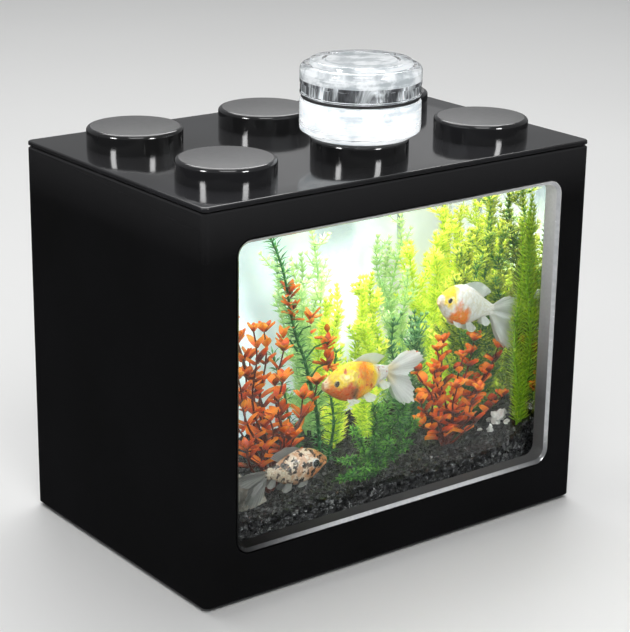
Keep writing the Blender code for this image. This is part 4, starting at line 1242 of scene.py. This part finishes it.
def build_all_fish():
    eyes = eye_parts("fish_eye_ring", (0.35, 0.25, 0.1), (0.85, 0.75, 0.45))
    pale_eyes = eye_parts("fish_eye_ring_pale", (0.55, 0.56, 0.58), (0.95, 0.95, 0.93))
    white = (0.93, 0.91, 0.88)
    yellow = (0.99, 0.7, 0.015)
    orange = (0.9, 0.2, 0.008)
    rust = (0.66, 0.085, 0.006)
    top = [(0.0, (0.94, 0.74, 0.5)), (0.05, (0.92, 0.5, 0.14)), (0.14, yellow), (0.46, yellow)]
    top += [(0.54, orange), (0.66, yellow), (0.8, white), (0.95, white)]
    bottom = [(0.0, (0.94, 0.66, 0.4)), (0.06, orange), (0.3, rust), (0.42, (0.04, 0.012, 0.008))]
    bottom += [(0.48, orange), (0.68, yellow), (0.8, white)]
    gold = fish_skin("skin_gold", top, bottom, rust, 520.0, 0.6)
    top = [(0.0, white), (0.05, yellow), (0.26, yellow), (0.34, white), (1.0, white)]
    bottom = [(0.0, (0.95, 0.7, 0.5)), (0.1, white), (0.24, white), (0.32, orange), (0.5, orange)]
    bottom += [(0.6, white)]
    pearl = fish_skin("skin_pearl", top, bottom, (0.93, 0.62, 0.15), 420.0, 0.66)
    beige = (0.72, 0.58, 0.44)
    top = [(0.0, (0.62, 0.22, 0.07)), (0.14, (0.7, 0.32, 0.13)), (0.26, (0.86, 0.76, 0.64)), (0.6, beige)]
    top += [(1.0, (0.48, 0.4, 0.28))]
    bottom = [(0.0, (0.66, 0.22, 0.06)), (0.25, (0.62, 0.22, 0.07)), (0.4, beige), (0.7, (0.62, 0.52, 0.38))]
    bottom += [(1.0, (0.36, 0.32, 0.22))]
    calico = fish_skin("skin_calico", top, bottom, (0.012, 0.009, 0.007), 700.0, 0.53, (0.48, 0.2, 0.07))
    pale_fin = fish_fin("fin_pale", (0.93, 0.76, 0.4), (0.95, 0.95, 0.93))
    white_fin = fish_fin("fin_white", (0.92, 0.9, 0.84), (0.86, 0.88, 0.86))
    calico_fin = fish_fin("fin_calico", (0.16, 0.15, 0.12), (0.36, 0.36, 0.34), 0.8)
    build_fish("fish_orange", gold, pale_fin, eyes, False, 0.1, 0.155, 0.68, (24, -68, 0.37))
    build_fish("fish_white", pearl, white_fin, eyes, False, -0.12, 0.172, 0.63, (26, -62, 0.42))
    build_fish("fish_speckled", calico, calico_fin, pale_eyes, True, 0.08, 0.165, 0.71, (2, -66, 0.33),
               (0.22, 0.046, 0.96))


# ---------------------------------------------------------------- lamp


def turned(profile, centre, foot):
    return [circle(r, foot + z, centre) for r, z in profile]


def turned_piece(name, loops, materials, body, slot, node, rows=(), joined=False):
    """A piece through circles, with the material index of each row of faces, 0 for those not given."""
    verts, faces = outward(*skin(loops, joined))
    rows = [*rows] + [0] * (len(loops) - (0 if joined else 1) - len(rows))
    indices = [row for row in rows for _ in range(ROUND)] + ([] if joined else [rows[0], rows[-1]])
    piece(name, verts, faces, materials, body, slot, [node], 30, indices)


def build_lamp(clear, frost, soft):
    """Clear shells whose inner walls are frosted and glow, with the grip ribs round the cap."""
    low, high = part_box("lamp_base")
    centre = middle_of("lamp_base")[:2]
    radius = (high[0] - low[0]) / 2
    underside = low[2] + 0.0028

    split = high[2] - underside
    profile = [(0.0052, -0.0028), (0.0058, -0.0024), (0.0058, 0.0), (0.0118, 0.0)]
    profile += arc((0.0124, 0.0008), 0.0008, 270, 315, 3)
    profile += [(radius - 0.0002, 0.0015)] + arc((radius - 0.0006, 0.0021), 0.0006, -20, 0, 2)
    for groove in (0.003, 0.004):
        profile += [(radius, groove - 0.00016), (radius - 0.00018, groove), (radius, groove + 0.00016)]
    profile += arc((radius - 0.0004, split - 0.0004), 0.0004, 0, 90, 4)
    inner = [(0.0137, split), (0.0137, 0.003), (0.013, 0.0021), (0.0122, 0.0016)]
    loops = turned(profile + inner, centre, underside)
    rows = [0] * len(profile) + [1] * (len(inner) - 1)
    turned_piece("lamp_lower_shell", loops, [clear, frost], "lamp", "lamp_clear", "lamp_base", rows)

    low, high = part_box("lamp_seal")
    thick = 0.00062
    squash = (high[2] - low[2]) / 2 / thick
    ring = [(r, z * squash) for r, z in arc((0.01405, 0.0), thick, 0, 337.5, 15)]
    loops = turned(ring, centre, (low[2] + high[2]) / 2)
    black = rubber("seal_black", 0.004)
    turned_piece("lamp_seal_ring", loops, black, "lamp", "lamp_seal", "lamp_seal", joined=True)

    cap_low = 0.0103
    cap_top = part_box("lamp_cap")[1][2] - underside
    shoulder = cap_top - 0.0011
    band_low = cap_low + 0.0005
    band_high = cap_low + 0.0029
    band_radius = radius - 0.0004
    profile = [(0.011, shoulder - 0.0019), (0.0119, shoulder - 0.0024), (0.0119, band_high + 0.0003)]
    profile += [(0.0119, band_low - 0.0004), (0.0119, 0.0058), (0.0124, 0.0055), (0.0128, 0.0058)]
    profile += [(0.0128, cap_low - 0.0003), (0.013, cap_low), (radius - 0.0003, cap_low)]
    profile += [(radius, cap_low + 0.0002), (radius, band_low), (band_radius, band_low + 0.0001)]
    profile += [(band_radius, band_high - 0.0001), (radius, band_high), (radius, shoulder - 0.0014)]
    profile += arc((radius - 0.0014, shoulder - 0.0014), 0.0014, 10, 90, 8)
    profile += [(0.0128, shoulder), (0.0127, cap_top - 0.0006)]
    profile += arc((0.012, cap_top - 0.0007), 0.0007, 10, 90, 4)
    profile += [(0.0096, cap_top - 0.00002), (0.0094, cap_top - 0.0005), (0.0089, cap_top - 0.0005)]
    profile += [(0.0087, cap_top), (0.0045, cap_top + 0.00001), (0.001, cap_top + 0.00002)]
    loops = turned(profile, centre, underside)
    ribs = 22
    for row, (r, z) in enumerate(profile):
        if r == band_radius and band_low < z < band_high:
            full = circle(radius, underside + z, centre)
            loops[row] = [full[i] if (i * ribs / ROUND) % 1.0 < 0.2 else loops[row][i] for i in range(ROUND)]
    materials = [clear, soft, lamp_band()]
    turned_piece("lamp_upper_shell", loops, materials, "lamp_cap", "lamp_clear", "lamp_cap", [1, 1, 2, 1])

    low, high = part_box("cap_insert")
    wide = (high[0] - low[0]) / 2
    tall = high[2] - low[2]
    dome = [(wide - 0.0004, 0.0), (wide, 0.0003), (wide, tall * 0.55), (wide - 0.0004, tall * 0.8)]
    dome += [(wide - 0.0015, tall * 0.92), (wide * 0.5, tall * 0.98), (0.0008, tall)]
    turned_piece("lamp_insert", turned(dome, centre, low[2]), soft, "lamp_cap", "lamp_white", "cap_insert")


# ---------------------------------------------------------------- stage


def area_light(name, place, target, size, energy, hidden=False, gloss_only=False):
    """A rectangle of light. A hidden one only lights, one for gloss is only mirrored."""
    data = bpy.data.lights.new(name, "AREA")
    data.shape = "RECTANGLE"
    data.size, data.size_y = size
    data.energy = energy
    light = bpy.data.objects.new(name, data)
    light.location = place
    light.rotation_euler = (Vector(target) - Vector(place)).to_track_quat("-Z", "Y").to_euler()
    bpy.context.scene.collection.objects.link(light)
    light.visible_camera = False
    light.visible_glossy = not hidden
    light.visible_diffuse = not gloss_only
    light.visible_transmission = not (hidden or gloss_only)


def build_world():
    """Pale above the horizon and dim below it, so that the black faces don't mirror a white floor."""
    world = bpy.data.worlds.new("studio")
    world.use_nodes = True
    tree = world.node_tree
    place, split, height, ramp = [tree.nodes.new("ShaderNode" + kind)
                                  for kind in ("TexCoord", "SeparateXYZ", "MapRange", "ValToRGB")]
    height.inputs["From Min"].default_value = -0.04
    height.inputs["From Max"].default_value = -0.01
    dim, pale = ramp.color_ramp.elements
    dim.color = (0.035, 0.035, 0.037, 1.0)
    pale.color = (0.29, 0.294, 0.3, 1.0)
    tree.links.new(place.outputs["Generated"], split.inputs[0])
    tree.links.new(split.outputs["Z"], height.inputs["Value"])
    tree.links.new(height.outputs["Result"], ramp.inputs["Fac"])
    tree.links.new(ramp.outputs["Color"], tree.nodes["Background"].inputs["Color"])
    bpy.context.scene.world = world


def build_stage():
    """Camera, studio floor, surroundings and lights."""
    scene = bpy.context.scene
    data = bpy.data.cameras.new("camera")
    data.lens = CAMERA_LENS
    data.sensor_width = CAMERA_SENSOR
    camera = bpy.data.objects.new("camera", data)
    turn = Matrix.Rotation(CAMERA_AZIMUTH, 4, "Z") @ Matrix.Rotation(pi / 2 - CAMERA_ELEVATION, 4, "X")
    camera.matrix_world = Matrix.Translation(CAMERA_PLACE) @ turn @ Matrix.Rotation(CAMERA_ROLL, 4, "Z")
    scene.collection.objects.link(camera)
    scene.camera = camera

    reach = 30.0
    mesh = bpy.data.meshes.new("studio_floor")
    corners = [(-reach, -reach, 0), (reach, -reach, 0), (reach, reach, 0), (-reach, reach, 0)]
    mesh.from_pydata(corners, [], [(0, 1, 2, 3)])
    mesh.materials.append(floor_paint())
    floor = bpy.data.objects.new("studio_floor", mesh)
    scene.collection.objects.link(floor)
    floor.visible_glossy = False

    build_world()
    area_light("key", (-0.35, -0.55, 0.85), (0.0, 0.0, 0.05), (0.5, 0.5), 4.0)
    area_light("top", (0.15, 0.35, 0.95), (0.0, 0.0, 0.05), (0.9, 0.6), 6.5)
    panels = [("back_glow", (0.608, 0.794, 0.9), (0.8, 0.3), 6.0)]
    panels += [("left_strip", (-1.0, -0.064, 0.42), (0.22, 0.3), 9.0)]
    panels += [("front_strip", (0.116, -0.99, 0.42), (0.22, 0.3), 9.0)]
    panels += [("back_panel", (0.836, 0.996, 0.52), (0.26, 0.3), 0.08)]
    for name, place, size, energy in panels:
        area_light(name, place, (0.0, 0.0, 0.1), size, energy, gloss_only=True)
    low, high = inside()
    x, y = [(low[axis] + high[axis]) / 2 for axis in (0, 1)]
    size = (0.92 * (high[0] - low[0]), 0.86 * (high[1] - low[1]))
    area_light("tank_light", (x, y, high[2] - 0.001), (x, y, 0.0), size, 0.085, hidden=True)
    scene.view_settings.view_transform = "Standard"


# ---------------------------------------------------------------- everything


def dress(looks):
    """Gives each CAD node that is still seen the material of the last name here that its own starts with."""
    for node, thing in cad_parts.items():
        found = [made_of for start, made_of in looks.items() if node.startswith(start)]
        if found and not thing.hide_render:
            thing.data.materials.clear()
            thing.data.materials.append(found[-1])
        if node.startswith("glass_"):
            thing.visible_shadow = False


def main():
    build_stage()
    build_window_frame()
    build_lid()
    build_water()
    build_gravel()
    build_stones()
    build_plants()
    build_all_fish()
    plastic = clear_glass("lamp_clear", (0.98, 0.99, 1.0), 1.46, 0.03)
    frost = lamp_frost("lamp_frost", 1.0)
    soft = lamp_frost("lamp_frost_soft", 0.7, (0.34, 0.38, 0.4), 0.4)
    build_lamp(plastic, frost, soft)

    metal = steel("steel")
    # The last number is the paler tone of painted light at the casing's top.
    looks = {"outer_casing": gloss_black("casing_black", 0.0062, 0.22, 0.28, 140.0, 0.026)}
    looks |= {"base_plate": matt_black("base_black"), "base_screw": metal, "rubber_pad": rubber("pad_rubber")}
    looks |= {"backdrop_sheet": backdrop(), "light_window": plastic, "corner_bead": silicone()}
    looks |= {"floor_bead": rubber("black_silicone", 0.012), "coin_cell": metal, "contact": metal}
    looks |= {"led_": frost, "led_board": soft, "battery_holder": soft}
    looks |= {"glass_": clear_glass("tank_glass"), "glass_front": clear_glass("front_glass", index=1.25)}
    dress(looks)


main()
